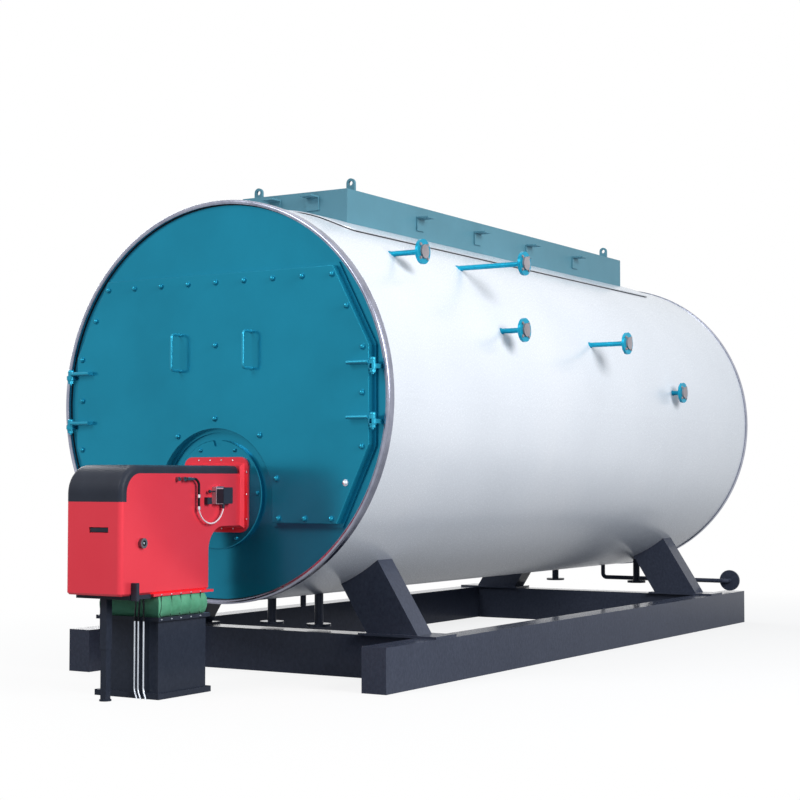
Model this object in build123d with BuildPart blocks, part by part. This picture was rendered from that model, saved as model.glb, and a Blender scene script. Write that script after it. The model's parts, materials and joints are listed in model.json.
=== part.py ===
from build123d import *
from math import cos, radians, sin, sqrt
import os

# Horizontal fire-tube boiler with a forced-draught burner, standing on a skid. Millimetres.
# Origin: floor level, under the boiler axis, at the middle of the front cross beam.
# The burner end faces -Y, the pipe connections are on the +X side, and +Z is up.
# A depth is measured back from the face of the front trim ring, so it is negative in front of it.

os.makedirs("parts", exist_ok=True)

# Fits shared by all pieces
seat_gap = 0.3               # room between curved faces that lie together
overrun = 60.0               # how far a cutting shape runs past what it cuts

# Shell and its trim rings
shell_radius = 1292.0
shell_clearance = 505.0      # floor to the shell's underside
shell_wall = 12.0
boiler_length = 6220.0
front_overhang = 770.0       # front ring's face ahead of the front cross beam's middle
ring_lip = 8.0               # ring's rim outside the shell
ring_width = 28.0
ring_depth = 55.0
ring_edge_chamfer = 13.0

# End plates, tube plate and furnace mouth
plate_recess = 30.0          # front plate's face behind the ring's face
rear_plate_recess = 76.0     # the same at the rear
plate_thickness = 16.0
tube_plate_depth = 500.0
tube_plate_thickness = 22.0
tube_hole_radius = 32.0
tube_pitch = 170.0
tube_columns = 9
tube_rows = 3
tube_field_rise = 350.0      # middle of the tube field above the boiler axis
furnace_radius = 400.0
furnace_wall = 16.0

# Front door, an eight-sided leaf with an arch over the burner
# Its right-hand corners are shares of the ring's inner radius, across and up from the boiler axis
door_corner_shares = ((0.712, 0.643), (0.9185, 0.25), (0.9185, -0.23), (0.736, -0.609))
door_arch_gap = 102.0        # arch's radius over that of the burner's boss
door_arch_drop = 30.0        # arch's middle below the burner's axis
door_thickness = 46.0
door_edge_fillet = 5.0
door_gap = 0.5               # door's back from its seat
door_seat_depth = 14.0
door_seat_lap = 24.0         # seat's edge outside the door's
door_seat_width = 100.0      # opening's edge inside the door's

# Hinge straps, lugs and bolts, the same on both sides of the door
hinge_reach = 41.3           # hinge axis outside the door's edge
strap_rises = (-137.0, 196.5)
strap_height = 23.0
strap_depth = 40.0
strap_length = 180.0
lug_width = 56.0
lug_thickness = 27.0
lug_gap = 0.8                # lug's top below the strap
hinge_bolt_radius = 9.0
hinge_bolt_clearance = 0.1
hinge_head_radius = 21.0
hinge_head_rise = 18.0
hinge_head_fillet = 13.0
hinge_head_gap = 0.5
hinge_washer_radius = 24.0
hinge_washer_thickness = 7.0
hinge_nut_radius = 20.0
hinge_nut_height = 18.0
hinge_bolt_end = 10.0        # bolt's end below its nut
latch_slot_clearance = 1.0

# Door handles
handle_x = 287.0
handle_rise = 191.0          # lower end above the boiler axis
handle_height = 252.0
handle_reach = 98.0
handle_bar_radius = 9.0
handle_bend_radius = 26.0

# Rear end
rear_cover_radius = 430.0
rear_cover_thickness = 40.0
rear_cover_chamfer = 5.0
flue_rise = 593.0            # above the boiler axis
flue_radius = 300.0
flue_wall = 8.0
flue_length = 260.0          # from the rear plate's face to the flange's face
flue_flange_radius = 365.0
flue_flange_thickness = 16.0
flue_bolt_circle_radius = 337.5
flue_bolt_count = 12
flue_bolt_hole_radius = 9.0

# Raised top sheet, curb, cleats and lifting lugs
top_sheet_thickness = 12.0
top_sheet_half_angle = 28.5
top_sheet_start = 535.0      # depth
top_sheet_rear_margin = 620.0
top_sheet_corner = 150.0
curb_half_width = 437.0
curb_start = 845.0           # depth
curb_rear_margin = 890.0
curb_rise = 171.0            # curb's top above the shell's
curb_wall = 12.0
curb_deck_recess = 10.0
curb_deck_thickness = 10.0
cleat_thickness = 12.0
cleat_reach = 100.0
cleat_width = 100.0
cleat_drop = 100.0
side_cleat_recess = 75.0     # below the curb's top
side_cleat_margin = 957.0    # first and last cleat's middle from the curb's ends
side_cleat_count = 4
end_cleat_recess = 32.0
end_cleat_x = 160.0
lug_plate_inset = 49.0       # lug's middle inside the curb's face
lug_plate_width = 66.0
lug_plate_thickness = 20.0
lug_hole_radius = 17.0
lug_hole_rise = 66.0         # above the curb's deck
lug_front_margin = 126.0     # front lugs behind the curb's front
lug_rear_margin = 253.0

# Pipe connections on the +X side, in rows at angles above the boiler axis
nozzle_pipe_radius = 18.0
nozzle_flange_radius = 82.5
nozzle_flange_thickness = 20.0
nozzle_bolt_circle_radius = 62.5
nozzle_bolt_hole_radius = 9.0
nozzle_bolt_count = 4
nozzle_bolt_start_angle = 45.0
nozzle_cap_radius = 46.0
nozzle_cap_thickness = 14.0
nozzle_row_angles = {"upper": 49.18, "middle": 23.73, "lower": 9.4}
gauge_depth = 1660.0
gauge_reach = 76.0           # both gauge flanges' faces outside the shell's side
front_gauge_depth = 762.0
front_gauge_length = 245.3   # from the shell to the flange's face
feed_depth = 3090.0
feed_length = 317.0
sample_depth = 4495.0
sample_length = 100.0

# Stubs and drain pipe under the shell
stub_pipe_radius = 30.0
stub_flange_radius = 82.5
stub_flange_thickness = 18.0
stub_length = 217.0
front_stub_x = 195.0
front_stub_depth = 875.0
rear_stub_x = 410.0
rear_stub_margin = 510.0     # ahead of the rear ring's face
vent_stub_radius = 20.0
vent_stub_depth = 970.0
vent_stub_length = 81.0
drain_radius = 19.0
drain_bend_radius = 36.0
drain_margin = 340.0         # ahead of the rear ring's face
drain_drop = 120.0           # drain's axis under the shell
drain_end_inset = 64.0       # inside the rail's outer face
drain_outlet_run = 110.0
drain_flange_radius = 92.0
drain_flange_thickness = 18.0

# Skid
rail_inset = 28.0            # rail's outer face inside the shell's side
rail_width = 176.0
rail_height = 282.0
rail_front_margin = 18.0
rail_rear_margin = 42.0
beam_width = 176.0
rear_beam_margin = 690.0     # beam's middle ahead of the rear ring's face
base_plate_thickness = 15.0
base_plate_inner_lap = 40.0  # past the saddle's foot
base_plate_outer_inset = 14.0
base_plate_length = 260.0
saddle_width = 388.0
saddle_lean = 32.5           # degrees from upright
saddle_thickness = 180.0

# Burner, its heights measured from its own axis
burner_drop = 600.0          # burner's axis below the boiler's
boss_radius = 350.0
boss_edge_chamfer = 4.0
boss_notch_width = 73.0      # at the boss's rim
boss_notch_foot_width = 44.0
boss_notch_height = 41.0
boss_notch_depth = 12.0
burner_flange_width = 505.0
burner_flange_height = 478.0
burner_flange_thickness = 18.0
burner_flange_corner = 60.0
burner_half_width = 211.0
burner_front = 1180.0        # casing's front ahead of the ring's face
burner_back = 363.0          # casing's back below the neck, ahead of the ring's face
burner_rise = 183.0
burner_fall = 577.0
neck_fall = 192.0
neck_arc_radius = 150.0
burner_edge_fillet = 30.0
burner_foot_chamfer = 12.0
collar_flare = 18.0          # neck's widening at its flange
collar_length = 25.0
hood_thickness = 50.0
hood_bend_radius = 170.0
hood_lip_fall = 33.0
hood_back = 47.0             # hood's end ahead of the ring's face
hood_end_radius = 30.0
slot_width = 145.0
slot_height = 32.0
slot_recess = 18.0
slot_x = 44.0
slot_fall = 196.0
base_flange_thickness = 15.0
base_flange_half_width = 226.0
base_flange_front = 900.0
base_flange_back = 328.0
tray_thickness = 25.0
tray_half_width = 206.0
tray_front = 1090.0

# Supply duct, bellows and post under the burner
duct_half_width = 222.0
duct_front = 852.0
duct_back = 400.0
duct_base_lip = 24.0
duct_base_lip_thickness = 35.0
duct_top_lip = 20.0
duct_top_lip_thickness = 23.0
bellows_height = 125.0
bellows_side_bulge = 26.0
bellows_end_bulge = 6.0
bellows_inset = 10.0
post_center = 1060.0
post_sleeve_width = 50.0
post_tube_width = 42.0
post_sleeve_length = 295.0
post_foot_radius = 36.0
post_foot_thickness = 10.0

# Sight glass, junction box, conduits and hoses
sight_glass_radius = 30.0
sight_glass_bore_radius = 17.0
sight_glass_depth = 22.0
sight_glass_bore_depth = 8.0
sight_glass_center = 996.0
sight_glass_fall = 275.0
junction_box_front = 1087.0
junction_box_length = 26.0
junction_box_height = 105.0
junction_box_overhang = 30.0  # below the casing
junction_box_depth = 42.0
junction_box_fillet = 6.0
conduit_radius = 5.5
conduit_xs = (69.0, 97.0, 137.0)
conduit_top_drop = 25.0      # conduits' tops below the duct's
conduit_kick_height = 48.0
conduit_kick_x = 28.0
conduit_kick_y = 10.0
conduit_bend_radius = 60.0
hose_radius = 5.5
hose_x = 180.0
hose_starts = (1005.0, 972.0, 936.0)  # under the tray, ahead of the ring's face
hose_drop = 26.0
hose_bend_radius = 30.0

# Pressure switch on the burner's neck: blocks, gland, knob and its side block
switch_front = 329.0         # front of the terminal block, ahead of the ring's face
terminal_length = 72.0
terminal_reach = 33.0
switch_length = 94.0
switch_reach = 36.0
switch_fall = 55.0
switch_height = 103.0
switch_fillet = 10.0
gland_radius = 10.0
gland_drop = 28.0
gland_inset = 11.0           # gland's middle behind the switch block's front
side_block_front = 405.0
side_block_length = 45.0
side_block_height = 42.0
side_block_reach = 25.0
knob_radius = 11.0
knob_stem_radius = 4.0
knob_stem_length = 52.0
knob_fall = 25.0             # below the blocks' top

# Impulse line along the burner's side: sockets, fitting, hose, ferrules and lead
line_rise = 99.5
line_stand_off = 24.0        # line's axis off the casing's side
socket_radius = 13.0
socket_bore_radius = 7.0
socket_bore_depth = 6.0
socket_centers = (675.0, 621.0)
fitting_front = 605.0
fitting_length = 41.0
fitting_radius = 11.0
nipple_length = 24.0
impulse_hose_radius = 8.0
impulse_turn = 489.0         # hose's downward run, ahead of the ring's face
impulse_bend_radius = 44.0
ferrule_radius = 11.0
ferrule_length = 20.0
upper_ferrule_drop = 94.0    # top of the ferrule below the line
lower_ferrule_drop = 166.5
lead_radius = 5.0
lead_drop = 84.0             # lead's middle under its lower end
lead_low_share = 0.48        # how far along its span the lead is lowest
lead_end_gap = 2.1           # room for the lead's slanted ends

# Places worked out from the sizes above
axis_height = shell_clearance + shell_radius
burner_height = axis_height - burner_drop
front_y = -front_overhang
rear_y = front_y + boiler_length
shell_inner_radius = shell_radius - shell_wall
ring_radius = shell_radius + ring_lip
ring_inner_radius = ring_radius - ring_width
front_plate_y = front_y + plate_recess
rear_plate_y = rear_y - rear_plate_recess
door_half_width = ring_inner_radius * max(x_share for x_share, z_share in door_corner_shares)
door_arch_radius = boss_radius + door_arch_gap
door_arch_height = burner_height - door_arch_drop
door_back_y = front_plate_y - door_seat_depth - door_gap
door_front_y = door_back_y - door_thickness
hinge_x = door_half_width + hinge_reach
hinge_y = door_front_y - strap_depth / 2
strap_inner_x = hinge_x - strap_length
strap_undersides = [axis_height + rise for rise in strap_rises]
hinge_hole_radius = hinge_bolt_radius + hinge_bolt_clearance
handle_bottom = axis_height + handle_rise
handle_top = handle_bottom + handle_height
flue_height = axis_height + flue_rise
top_sheet_radius = shell_radius + seat_gap + top_sheet_thickness
top_sheet_end = boiler_length - top_sheet_rear_margin
top_sheet_half_width = top_sheet_radius * sin(radians(top_sheet_half_angle)) + seat_gap
curb_top = axis_height + shell_radius + curb_rise
curb_end = boiler_length - curb_rear_margin
curb_deck_top = curb_top - curb_deck_recess
side_cleat_top = curb_top - side_cleat_recess
end_cleat_top = curb_top - end_cleat_recess
lug_plate_x = curb_half_width - lug_plate_inset
lug_front_depth = curb_start + lug_front_margin
lug_rear_depth = curb_end - lug_rear_margin
rail_outer_x = shell_radius - rail_inset
rail_x = rail_outer_x - rail_width / 2
rail_end = boiler_length - rail_rear_margin
beam_half_length = rail_outer_x - rail_width
rear_beam_y = rear_y - rear_beam_margin
saddle_foot = rail_height + base_plate_thickness
saddle_rise = axis_height - saddle_foot
saddle_foot_outer_x = beam_half_length
saddle_foot_inner_x = saddle_foot_outer_x - saddle_width
base_plate_inner_x = saddle_foot_inner_x - base_plate_inner_lap
base_plate_outer_x = rail_outer_x - base_plate_outer_inset
rear_stub_depth = boiler_length - rear_stub_margin
vent_stub_underside = shell_clearance - seat_gap - vent_stub_length
drain_depth = boiler_length - drain_margin
drain_height = shell_clearance - drain_drop
drain_end_x = rail_outer_x - drain_end_inset
burner_top = burner_height + burner_rise
burner_bottom = burner_height - burner_fall
neck_bottom = burner_height - neck_fall
hood_lip_height = burner_height - hood_lip_fall
slot_center_height = burner_height - slot_fall
bellows_top = burner_bottom - base_flange_thickness
duct_height = bellows_top - bellows_height
conduit_height = duct_height - conduit_top_drop
sides = (-1, 1)
side_words = {-1: "left", 1: "right"}


def facing_front(depth):
    """Upright plane at a depth, drawn in X and Z, whose extrusions run towards the burner end."""
    return Plane.XZ.offset(-(front_y + depth))


def shell_cutter(radius):
    """Solid drum of the boiler's length and more, for trimming what stands on the shell."""
    with BuildPart() as drum:
        with BuildSketch(facing_front(-overrun)):
            with Locations((0, axis_height)):
                Circle(radius)
        extrude(amount=-(boiler_length + 2 * overrun))
    return drum.part


def door_outline(inset):
    """Eight-sided leaf with an arch over the burner, drawn in from its edge by the inset, or out if negative."""
    corners = [(ring_inner_radius * x_share, axis_height + ring_inner_radius * z_share)
               for x_share, z_share in door_corner_shares]
    mirrored = [(-x, z) for x, z in reversed(corners)]
    with BuildSketch() as outline:
        with BuildLine():
            Polyline(*corners, *mirrored, close=True)
        make_face()
        with Locations((0, door_arch_height)):
            Circle(door_arch_radius, mode=Mode.SUBTRACT)
            Rectangle(2 * door_arch_radius, axis_height, align=(Align.CENTER, Align.MAX),
                      mode=Mode.SUBTRACT)
        if inset:
            offset(amount=-inset, kind=Kind.INTERSECTION)
    return outline.sketch


def keep(piece, name):
    """Label a finished piece and write it to its own file."""
    piece.part.label = name
    export_step(piece.part, f"parts/{name}.step")


shell_drum = shell_cutter(shell_radius + seat_gap)
top_sheet_drum = shell_cutter(top_sheet_radius + seat_gap)
door_face = door_outline(0)
seat_face = door_outline(-door_seat_lap)
opening_face = door_outline(door_seat_width)

# Shell and trim rings
with BuildPart() as cladding_shell:
    with BuildSketch(facing_front(ring_depth)):
        with Locations((0, axis_height)):
            Circle(shell_radius)
            Circle(shell_inner_radius, mode=Mode.SUBTRACT)
    extrude(amount=-(boiler_length - 2 * ring_depth))
keep(cladding_shell, "cladding_shell")

trim_rings = (("front_trim_ring", ring_depth, 0), ("rear_trim_ring", boiler_length, -1))
for name, back_depth, outer_end in trim_rings:
    with BuildPart() as trim_ring:
        with BuildSketch(facing_front(back_depth)):
            with Locations((0, axis_height)):
                Circle(ring_radius)
                Circle(ring_inner_radius, mode=Mode.SUBTRACT)
        extrude(amount=ring_depth)
        end_faces = trim_ring.faces().filter_by(Axis.Y).sort_by(Axis.Y)
        chamfer(end_faces[outer_end].edges().sort_by(SortBy.RADIUS)[-1:], ring_edge_chamfer)
    keep(trim_ring, name)

# Front plate with the smoke box's opening, and the tube plate behind it
with BuildPart() as front_plate:
    with BuildSketch(facing_front(plate_recess + plate_thickness)):
        with Locations((0, axis_height)):
            Circle(ring_inner_radius - seat_gap)
        add(opening_face, mode=Mode.SUBTRACT)
    extrude(amount=plate_thickness)
keep(front_plate, "front_plate")

with BuildPart() as tube_plate:
    with BuildSketch(facing_front(tube_plate_depth + tube_plate_thickness)):
        with Locations((0, axis_height)):
            Circle(shell_inner_radius - seat_gap)
        with Locations((0, axis_height + tube_field_rise)):
            with GridLocations(tube_pitch, tube_pitch, tube_columns, tube_rows):
                Circle(tube_hole_radius, mode=Mode.SUBTRACT)
    extrude(amount=tube_plate_thickness)
keep(tube_plate, "tube_plate")

with BuildPart() as furnace_mouth:
    with BuildSketch(facing_front(tube_plate_depth)):
        with Locations((0, burner_height)):
            Circle(furnace_radius)
            Circle(furnace_radius - furnace_wall, mode=Mode.SUBTRACT)
    extrude(amount=tube_plate_depth - plate_recess - plate_thickness)
keep(furnace_mouth, "furnace_mouth")

# Front door and what hangs it
with BuildPart() as door_seat:
    with BuildSketch(facing_front(plate_recess)):
        add(seat_face)
        add(opening_face, mode=Mode.SUBTRACT)
    extrude(amount=door_seat_depth)
keep(door_seat, "door_seat")

with BuildPart() as front_door:
    with BuildSketch(Plane.XZ.offset(-door_back_y)):
        add(door_face)
    extrude(amount=door_thickness)
    fillet(front_door.faces().sort_by(Axis.Y)[0].edges(), door_edge_fillet)
keep(front_door, "front_door")

with BuildPart() as door_straps:
    for underside in strap_undersides:
        with BuildSketch(Plane.XY.offset(underside)):
            for side in sides:
                with Locations((side * (strap_inner_x + hinge_x) / 2, hinge_y)):
                    Rectangle(hinge_x - strap_inner_x, strap_depth)
                with Locations((side * hinge_x, hinge_y)):
                    Circle(strap_depth / 2)
                    Circle(hinge_hole_radius, mode=Mode.SUBTRACT)
        extrude(amount=strap_height)
keep(door_straps, "door_straps")

# The left lugs hold the hinge bolts; the right lugs are slotted so that their bolts swing out with the door
with BuildPart() as hinge_lugs:
    for underside in strap_undersides:
        with BuildSketch(Plane.XY.offset(underside - lug_gap - lug_thickness)):
            for side in sides:
                with Locations((side * hinge_x, (front_plate_y + hinge_y) / 2)):
                    Rectangle(lug_width, front_plate_y - hinge_y)
                with Locations((side * hinge_x, hinge_y)):
                    Circle(lug_width / 2)
                    Circle(hinge_hole_radius if side < 0 else hinge_bolt_radius + latch_slot_clearance,
                           mode=Mode.SUBTRACT)
            with Locations((hinge_x, hinge_y)):
                Rectangle(2 * (hinge_bolt_radius + latch_slot_clearance), lug_width,
                          align=(Align.CENTER, Align.MAX), mode=Mode.SUBTRACT)
        extrude(amount=lug_thickness)
    add(door_seat.part, mode=Mode.SUBTRACT)
keep(hinge_lugs, "hinge_lugs")

for side, name in ((-1, "left_hinge_bolts"), (1, "right_hinge_bolts")):
    with BuildPart() as hinge_bolts:
        for underside in strap_undersides:
            washer_top = underside - 2 * lug_gap - lug_thickness
            nut_top = washer_top - hinge_washer_thickness
            bolt_bottom = nut_top - hinge_nut_height - hinge_bolt_end
            head_bottom = underside + strap_height + hinge_head_gap
            with BuildSketch(Plane.XY.offset(bolt_bottom)):
                with Locations((side * hinge_x, hinge_y)):
                    Circle(hinge_bolt_radius)
            extrude(amount=head_bottom - bolt_bottom)
            with BuildSketch(Plane.XY.offset(washer_top)):
                with Locations((side * hinge_x, hinge_y)):
                    Circle(hinge_washer_radius)
            extrude(amount=-hinge_washer_thickness)
            with BuildSketch(Plane.XY.offset(nut_top)):
                with Locations((side * hinge_x, hinge_y)):
                    RegularPolygon(hinge_nut_radius, 6)
            extrude(amount=-hinge_nut_height)
            with BuildSketch(Plane.XY.offset(head_bottom)):
                with Locations((side * hinge_x, hinge_y)):
                    Circle(hinge_head_radius)
            extrude(amount=hinge_head_rise)
            fillet(hinge_bolts.faces().sort_by(Axis.Z)[-1].edges(), hinge_head_fillet)
    keep(hinge_bolts, name)

with BuildPart() as door_handles:
    for side in sides:
        foot_y = door_front_y - seat_gap
        grip_y = door_front_y - handle_reach + handle_bar_radius
        low = handle_bottom + handle_bar_radius
        high = handle_top - handle_bar_radius
        with BuildLine() as bar:
            FilletPolyline(
                (side * handle_x, foot_y, high),
                (side * handle_x, grip_y, high),
                (side * handle_x, grip_y, low),
                (side * handle_x, foot_y, low),
                radius=handle_bend_radius,
            )
        with BuildSketch(Plane(origin=bar.wire() @ 0, z_dir=bar.wire() % 0)):
            Circle(handle_bar_radius)
        sweep(path=bar.wire())
keep(door_handles, "door_handles")

# Rear plate, its round cover and the flue outlet
with BuildPart() as rear_plate:
    with BuildSketch(Plane.XZ.offset(-rear_plate_y)):
        with Locations((0, axis_height)):
            Circle(shell_inner_radius - seat_gap)
        with Locations((0, flue_height)):
            Circle(flue_radius - flue_wall, mode=Mode.SUBTRACT)
    extrude(amount=plate_thickness)
keep(rear_plate, "rear_plate")

with BuildPart() as rear_cover:
    with BuildSketch(Plane.XZ.offset(-rear_plate_y)):
        with Locations((0, burner_height)):
            Circle(rear_cover_radius)
    extrude(amount=-rear_cover_thickness)
    chamfer(rear_cover.faces().sort_by(Axis.Y)[-1].edges(), rear_cover_chamfer)
keep(rear_cover, "rear_cover")

with BuildPart() as flue_outlet:
    with BuildSketch(Plane.XZ.offset(-rear_plate_y)):
        with Locations((0, flue_height)):
            Circle(flue_radius)
    extrude(amount=-flue_length)
    with BuildSketch(Plane.XZ.offset(-(rear_plate_y + flue_length))):
        with Locations((0, flue_height)):
            Circle(flue_flange_radius)
            with PolarLocations(flue_bolt_circle_radius, flue_bolt_count):
                Circle(flue_bolt_hole_radius, mode=Mode.SUBTRACT)
    extrude(amount=flue_flange_thickness)
    with BuildSketch(Plane.XZ.offset(-rear_plate_y)):
        with Locations((0, flue_height)):
            Circle(flue_radius - flue_wall)
    extrude(amount=-flue_length, mode=Mode.SUBTRACT)
keep(flue_outlet, "flue_outlet")

# Raised sheet along the top of the shell
with BuildPart() as top_sheet:
    with BuildSketch(facing_front(top_sheet_start)):
        with Locations((0, axis_height)):
            Circle(top_sheet_radius)
            Circle(shell_radius + seat_gap, mode=Mode.SUBTRACT)
        reach = top_sheet_radius + overrun
        half_angle = radians(top_sheet_half_angle)
        with BuildLine():
            Polyline(
                (0, axis_height),
                (reach * sin(half_angle), axis_height + reach * cos(half_angle)),
                (0, axis_height + reach / cos(half_angle)),
                (-reach * sin(half_angle), axis_height + reach * cos(half_angle)),
                close=True,
            )
        make_face(mode=Mode.INTERSECT)
    extrude(amount=-(top_sheet_end - top_sheet_start))
    with BuildSketch(Plane.XY.offset(axis_height)):
        with Locations((0, front_y + (top_sheet_start + top_sheet_end) / 2)):
            RectangleRounded(2 * top_sheet_half_width, top_sheet_end - top_sheet_start, top_sheet_corner)
    extrude(amount=reach, mode=Mode.INTERSECT)
keep(top_sheet, "top_sheet")

# Curb round the top connections, with its deck, cleats and lifting lugs
curb_length = curb_end - curb_start
curb_middle_y = front_y + (curb_start + curb_end) / 2
side_cleat_y = front_y + curb_start + side_cleat_margin
side_cleat_pitch = (curb_length - 2 * side_cleat_margin) / (side_cleat_count - 1)
with BuildPart() as curb_walls:
    with BuildSketch(Plane.XY.offset(axis_height)):
        with Locations((0, curb_middle_y)):
            Rectangle(2 * curb_half_width, curb_length)
            Rectangle(2 * (curb_half_width - curb_wall), curb_length - 2 * curb_wall, mode=Mode.SUBTRACT)
    extrude(amount=curb_top - axis_height)
    add(top_sheet_drum, mode=Mode.SUBTRACT)
keep(curb_walls, "curb_walls")

with BuildPart() as curb_deck:
    with BuildSketch(Plane.XY.offset(curb_deck_top - curb_deck_thickness)):
        with Locations((0, curb_middle_y)):
            Rectangle(2 * (curb_half_width - curb_wall), curb_length - 2 * curb_wall)
    extrude(amount=curb_deck_thickness)
keep(curb_deck, "curb_deck")

with BuildPart() as curb_cleats:
    cleat_places = [
        Plane(origin=(side * curb_half_width, side_cleat_y + step * side_cleat_pitch, side_cleat_top),
              x_dir=(side, 0, 0), z_dir=(0, -side, 0))
        for side in sides for step in range(side_cleat_count)
    ] + [
        Plane(origin=(side * end_cleat_x, curb_middle_y + end * curb_length / 2, end_cleat_top),
              x_dir=(0, end, 0), z_dir=(end, 0, 0))
        for side in sides for end in sides
    ]
    for place in cleat_places:
        with BuildSketch(place):
            with BuildLine():
                Polyline(
                    (0, 0),
                    (cleat_reach, 0),
                    (cleat_reach, -cleat_thickness),
                    (cleat_thickness, -cleat_thickness),
                    (cleat_thickness, -cleat_drop),
                    (0, -cleat_drop),
                    close=True,
                )
            make_face()
        extrude(amount=cleat_width / 2, both=True)
keep(curb_cleats, "curb_cleats")

with BuildPart() as lifting_lugs:
    for depth in (lug_front_depth, lug_rear_depth):
        with BuildSketch(facing_front(depth + lug_plate_thickness / 2)):
            for side in sides:
                with Locations((side * lug_plate_x, curb_deck_top)):
                    Rectangle(lug_plate_width, lug_hole_rise, align=(Align.CENTER, Align.MIN))
                with Locations((side * lug_plate_x, curb_deck_top + lug_hole_rise)):
                    Circle(lug_plate_width / 2)
                    Circle(lug_hole_radius, mode=Mode.SUBTRACT)
        extrude(amount=lug_plate_thickness)
keep(lifting_lugs, "lifting_lugs")

# Flanged pipe connections on the +X side, each closed by a blank cap
nozzle_root_radius = shell_radius + seat_gap
nozzle_rises = {row: nozzle_root_radius * sin(radians(angle)) for row, angle in nozzle_row_angles.items()}
nozzle_roots = {row: nozzle_root_radius * cos(radians(angle)) for row, angle in nozzle_row_angles.items()}
gauge_face_x = shell_radius + gauge_reach
nozzles = {
    "front_gauge_nozzle": (front_gauge_depth, "upper", nozzle_roots["upper"] + front_gauge_length),
    "upper_gauge_nozzle": (gauge_depth, "upper", gauge_face_x),
    "lower_gauge_nozzle": (gauge_depth, "middle", gauge_face_x),
    "feed_nozzle": (feed_depth, "middle", nozzle_roots["middle"] + feed_length),
    "sample_nozzle": (sample_depth, "lower", nozzle_roots["lower"] + sample_length),
}
for name, (depth, row, face_x) in nozzles.items():
    height = axis_height + nozzle_rises[row]
    with BuildPart() as nozzle:
        with BuildSketch(Plane.YZ):
            with Locations((front_y + depth, height)):
                Circle(nozzle_pipe_radius)
        extrude(amount=face_x)
        with BuildSketch(Plane.YZ.offset(face_x)):
            with Locations((front_y + depth, height)):
                Circle(nozzle_flange_radius)
                with PolarLocations(nozzle_bolt_circle_radius, nozzle_bolt_count, nozzle_bolt_start_angle):
                    Circle(nozzle_bolt_hole_radius, mode=Mode.SUBTRACT)
        extrude(amount=-nozzle_flange_thickness)
        add(shell_drum, mode=Mode.SUBTRACT)
    keep(nozzle, name)

with BuildPart() as nozzle_caps:
    for depth, row, face_x in nozzles.values():
        height = axis_height + nozzle_rises[row]
        with BuildSketch(Plane.YZ.offset(face_x)):
            with Locations((front_y + depth, height)):
                Circle(nozzle_cap_radius)
        extrude(amount=nozzle_cap_thickness)
keep(nozzle_caps, "nozzle_caps")

# Stubs under the shell, and the drain pipe with its flange
stub_places = [(side * x, depth) for side in sides
               for x, depth in ((front_stub_x, front_stub_depth), (rear_stub_x, rear_stub_depth))]
with BuildPart() as drain_stubs:
    for x, depth in stub_places:
        underside = axis_height - sqrt((shell_radius + seat_gap) ** 2 - x ** 2) - stub_length
        with BuildSketch(Plane.XY.offset(underside)):
            with Locations((x, front_y + depth)):
                Circle(stub_flange_radius)
        extrude(amount=stub_flange_thickness)
        with BuildSketch(Plane.XY.offset(underside)):
            with Locations((x, front_y + depth)):
                Circle(stub_pipe_radius)
        extrude(amount=axis_height - underside)
    with BuildSketch(Plane.XY.offset(vent_stub_underside)):
        with Locations((0, front_y + vent_stub_depth)):
            Circle(vent_stub_radius)
    extrude(amount=axis_height - vent_stub_underside)
    add(shell_drum, mode=Mode.SUBTRACT)
keep(drain_stubs, "drain_stubs")

drain_y = front_y + drain_depth
drain_flange_y = drain_y + drain_outlet_run
drain_top = axis_height - shell_radius - seat_gap
with BuildPart() as drain_pipe:
    with BuildLine() as drain_run:
        FilletPolyline(
            (0, drain_y, drain_top),
            (0, drain_y, drain_height),
            (drain_end_x, drain_y, drain_height),
            (drain_end_x, drain_flange_y, drain_height),
            radius=drain_bend_radius,
        )
    with BuildSketch(Plane(origin=(0, drain_y, drain_top), z_dir=(0, 0, -1))):
        Circle(drain_radius)
    sweep(path=drain_run.wire())
    with BuildSketch(Plane.XZ.offset(-drain_flange_y)):
        with Locations((drain_end_x, drain_height)):
            Circle(drain_flange_radius)
    extrude(amount=drain_flange_thickness)
keep(drain_pipe, "drain_pipe")

# Skid rails, cross beams, base plates and saddles
rail_middle_y = front_y + (rail_front_margin + rail_end) / 2
for side in sides:
    with BuildPart() as rail:
        with BuildSketch():
            with Locations((side * rail_x, rail_middle_y)):
                Rectangle(rail_width, rail_end - rail_front_margin)
        extrude(amount=rail_height)
    keep(rail, f"{side_words[side]}_rail")

for name, beam_y in (("front_cross_beam", 0), ("rear_cross_beam", rear_beam_y)):
    with BuildPart() as cross_beam:
        with BuildSketch():
            with Locations((0, beam_y)):
                Rectangle(2 * beam_half_length, beam_width)
        extrude(amount=rail_height)
    keep(cross_beam, name)

with BuildPart() as saddle_base_plates:
    with BuildSketch(Plane.XY.offset(rail_height)):
        for side in sides:
            for beam_y in (0, rear_beam_y):
                with Locations((side * (base_plate_inner_x + base_plate_outer_x) / 2, beam_y)):
                    Rectangle(base_plate_outer_x - base_plate_inner_x, base_plate_length)
    extrude(amount=base_plate_thickness)
keep(saddle_base_plates, "saddle_base_plates")

saddle_shift = saddle_rise * sin(radians(saddle_lean)) / cos(radians(saddle_lean))
for end_word, beam_y in (("front", 0), ("rear", rear_beam_y)):
    for side in sides:
        with BuildPart() as saddle:
            with BuildSketch(Plane.XZ.offset(-beam_y)):
                with BuildLine():
                    Polyline(
                        (side * saddle_foot_inner_x, saddle_foot),
                        (side * saddle_foot_outer_x, saddle_foot),
                        (side * (saddle_foot_outer_x - saddle_shift), saddle_foot + saddle_rise),
                        (side * (saddle_foot_inner_x - saddle_shift), saddle_foot + saddle_rise),
                        close=True,
                    )
                make_face()
            extrude(amount=saddle_thickness / 2, both=True)
            add(shell_drum, mode=Mode.SUBTRACT)
        keep(saddle, f"{end_word}_{side_words[side]}_saddle")

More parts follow.
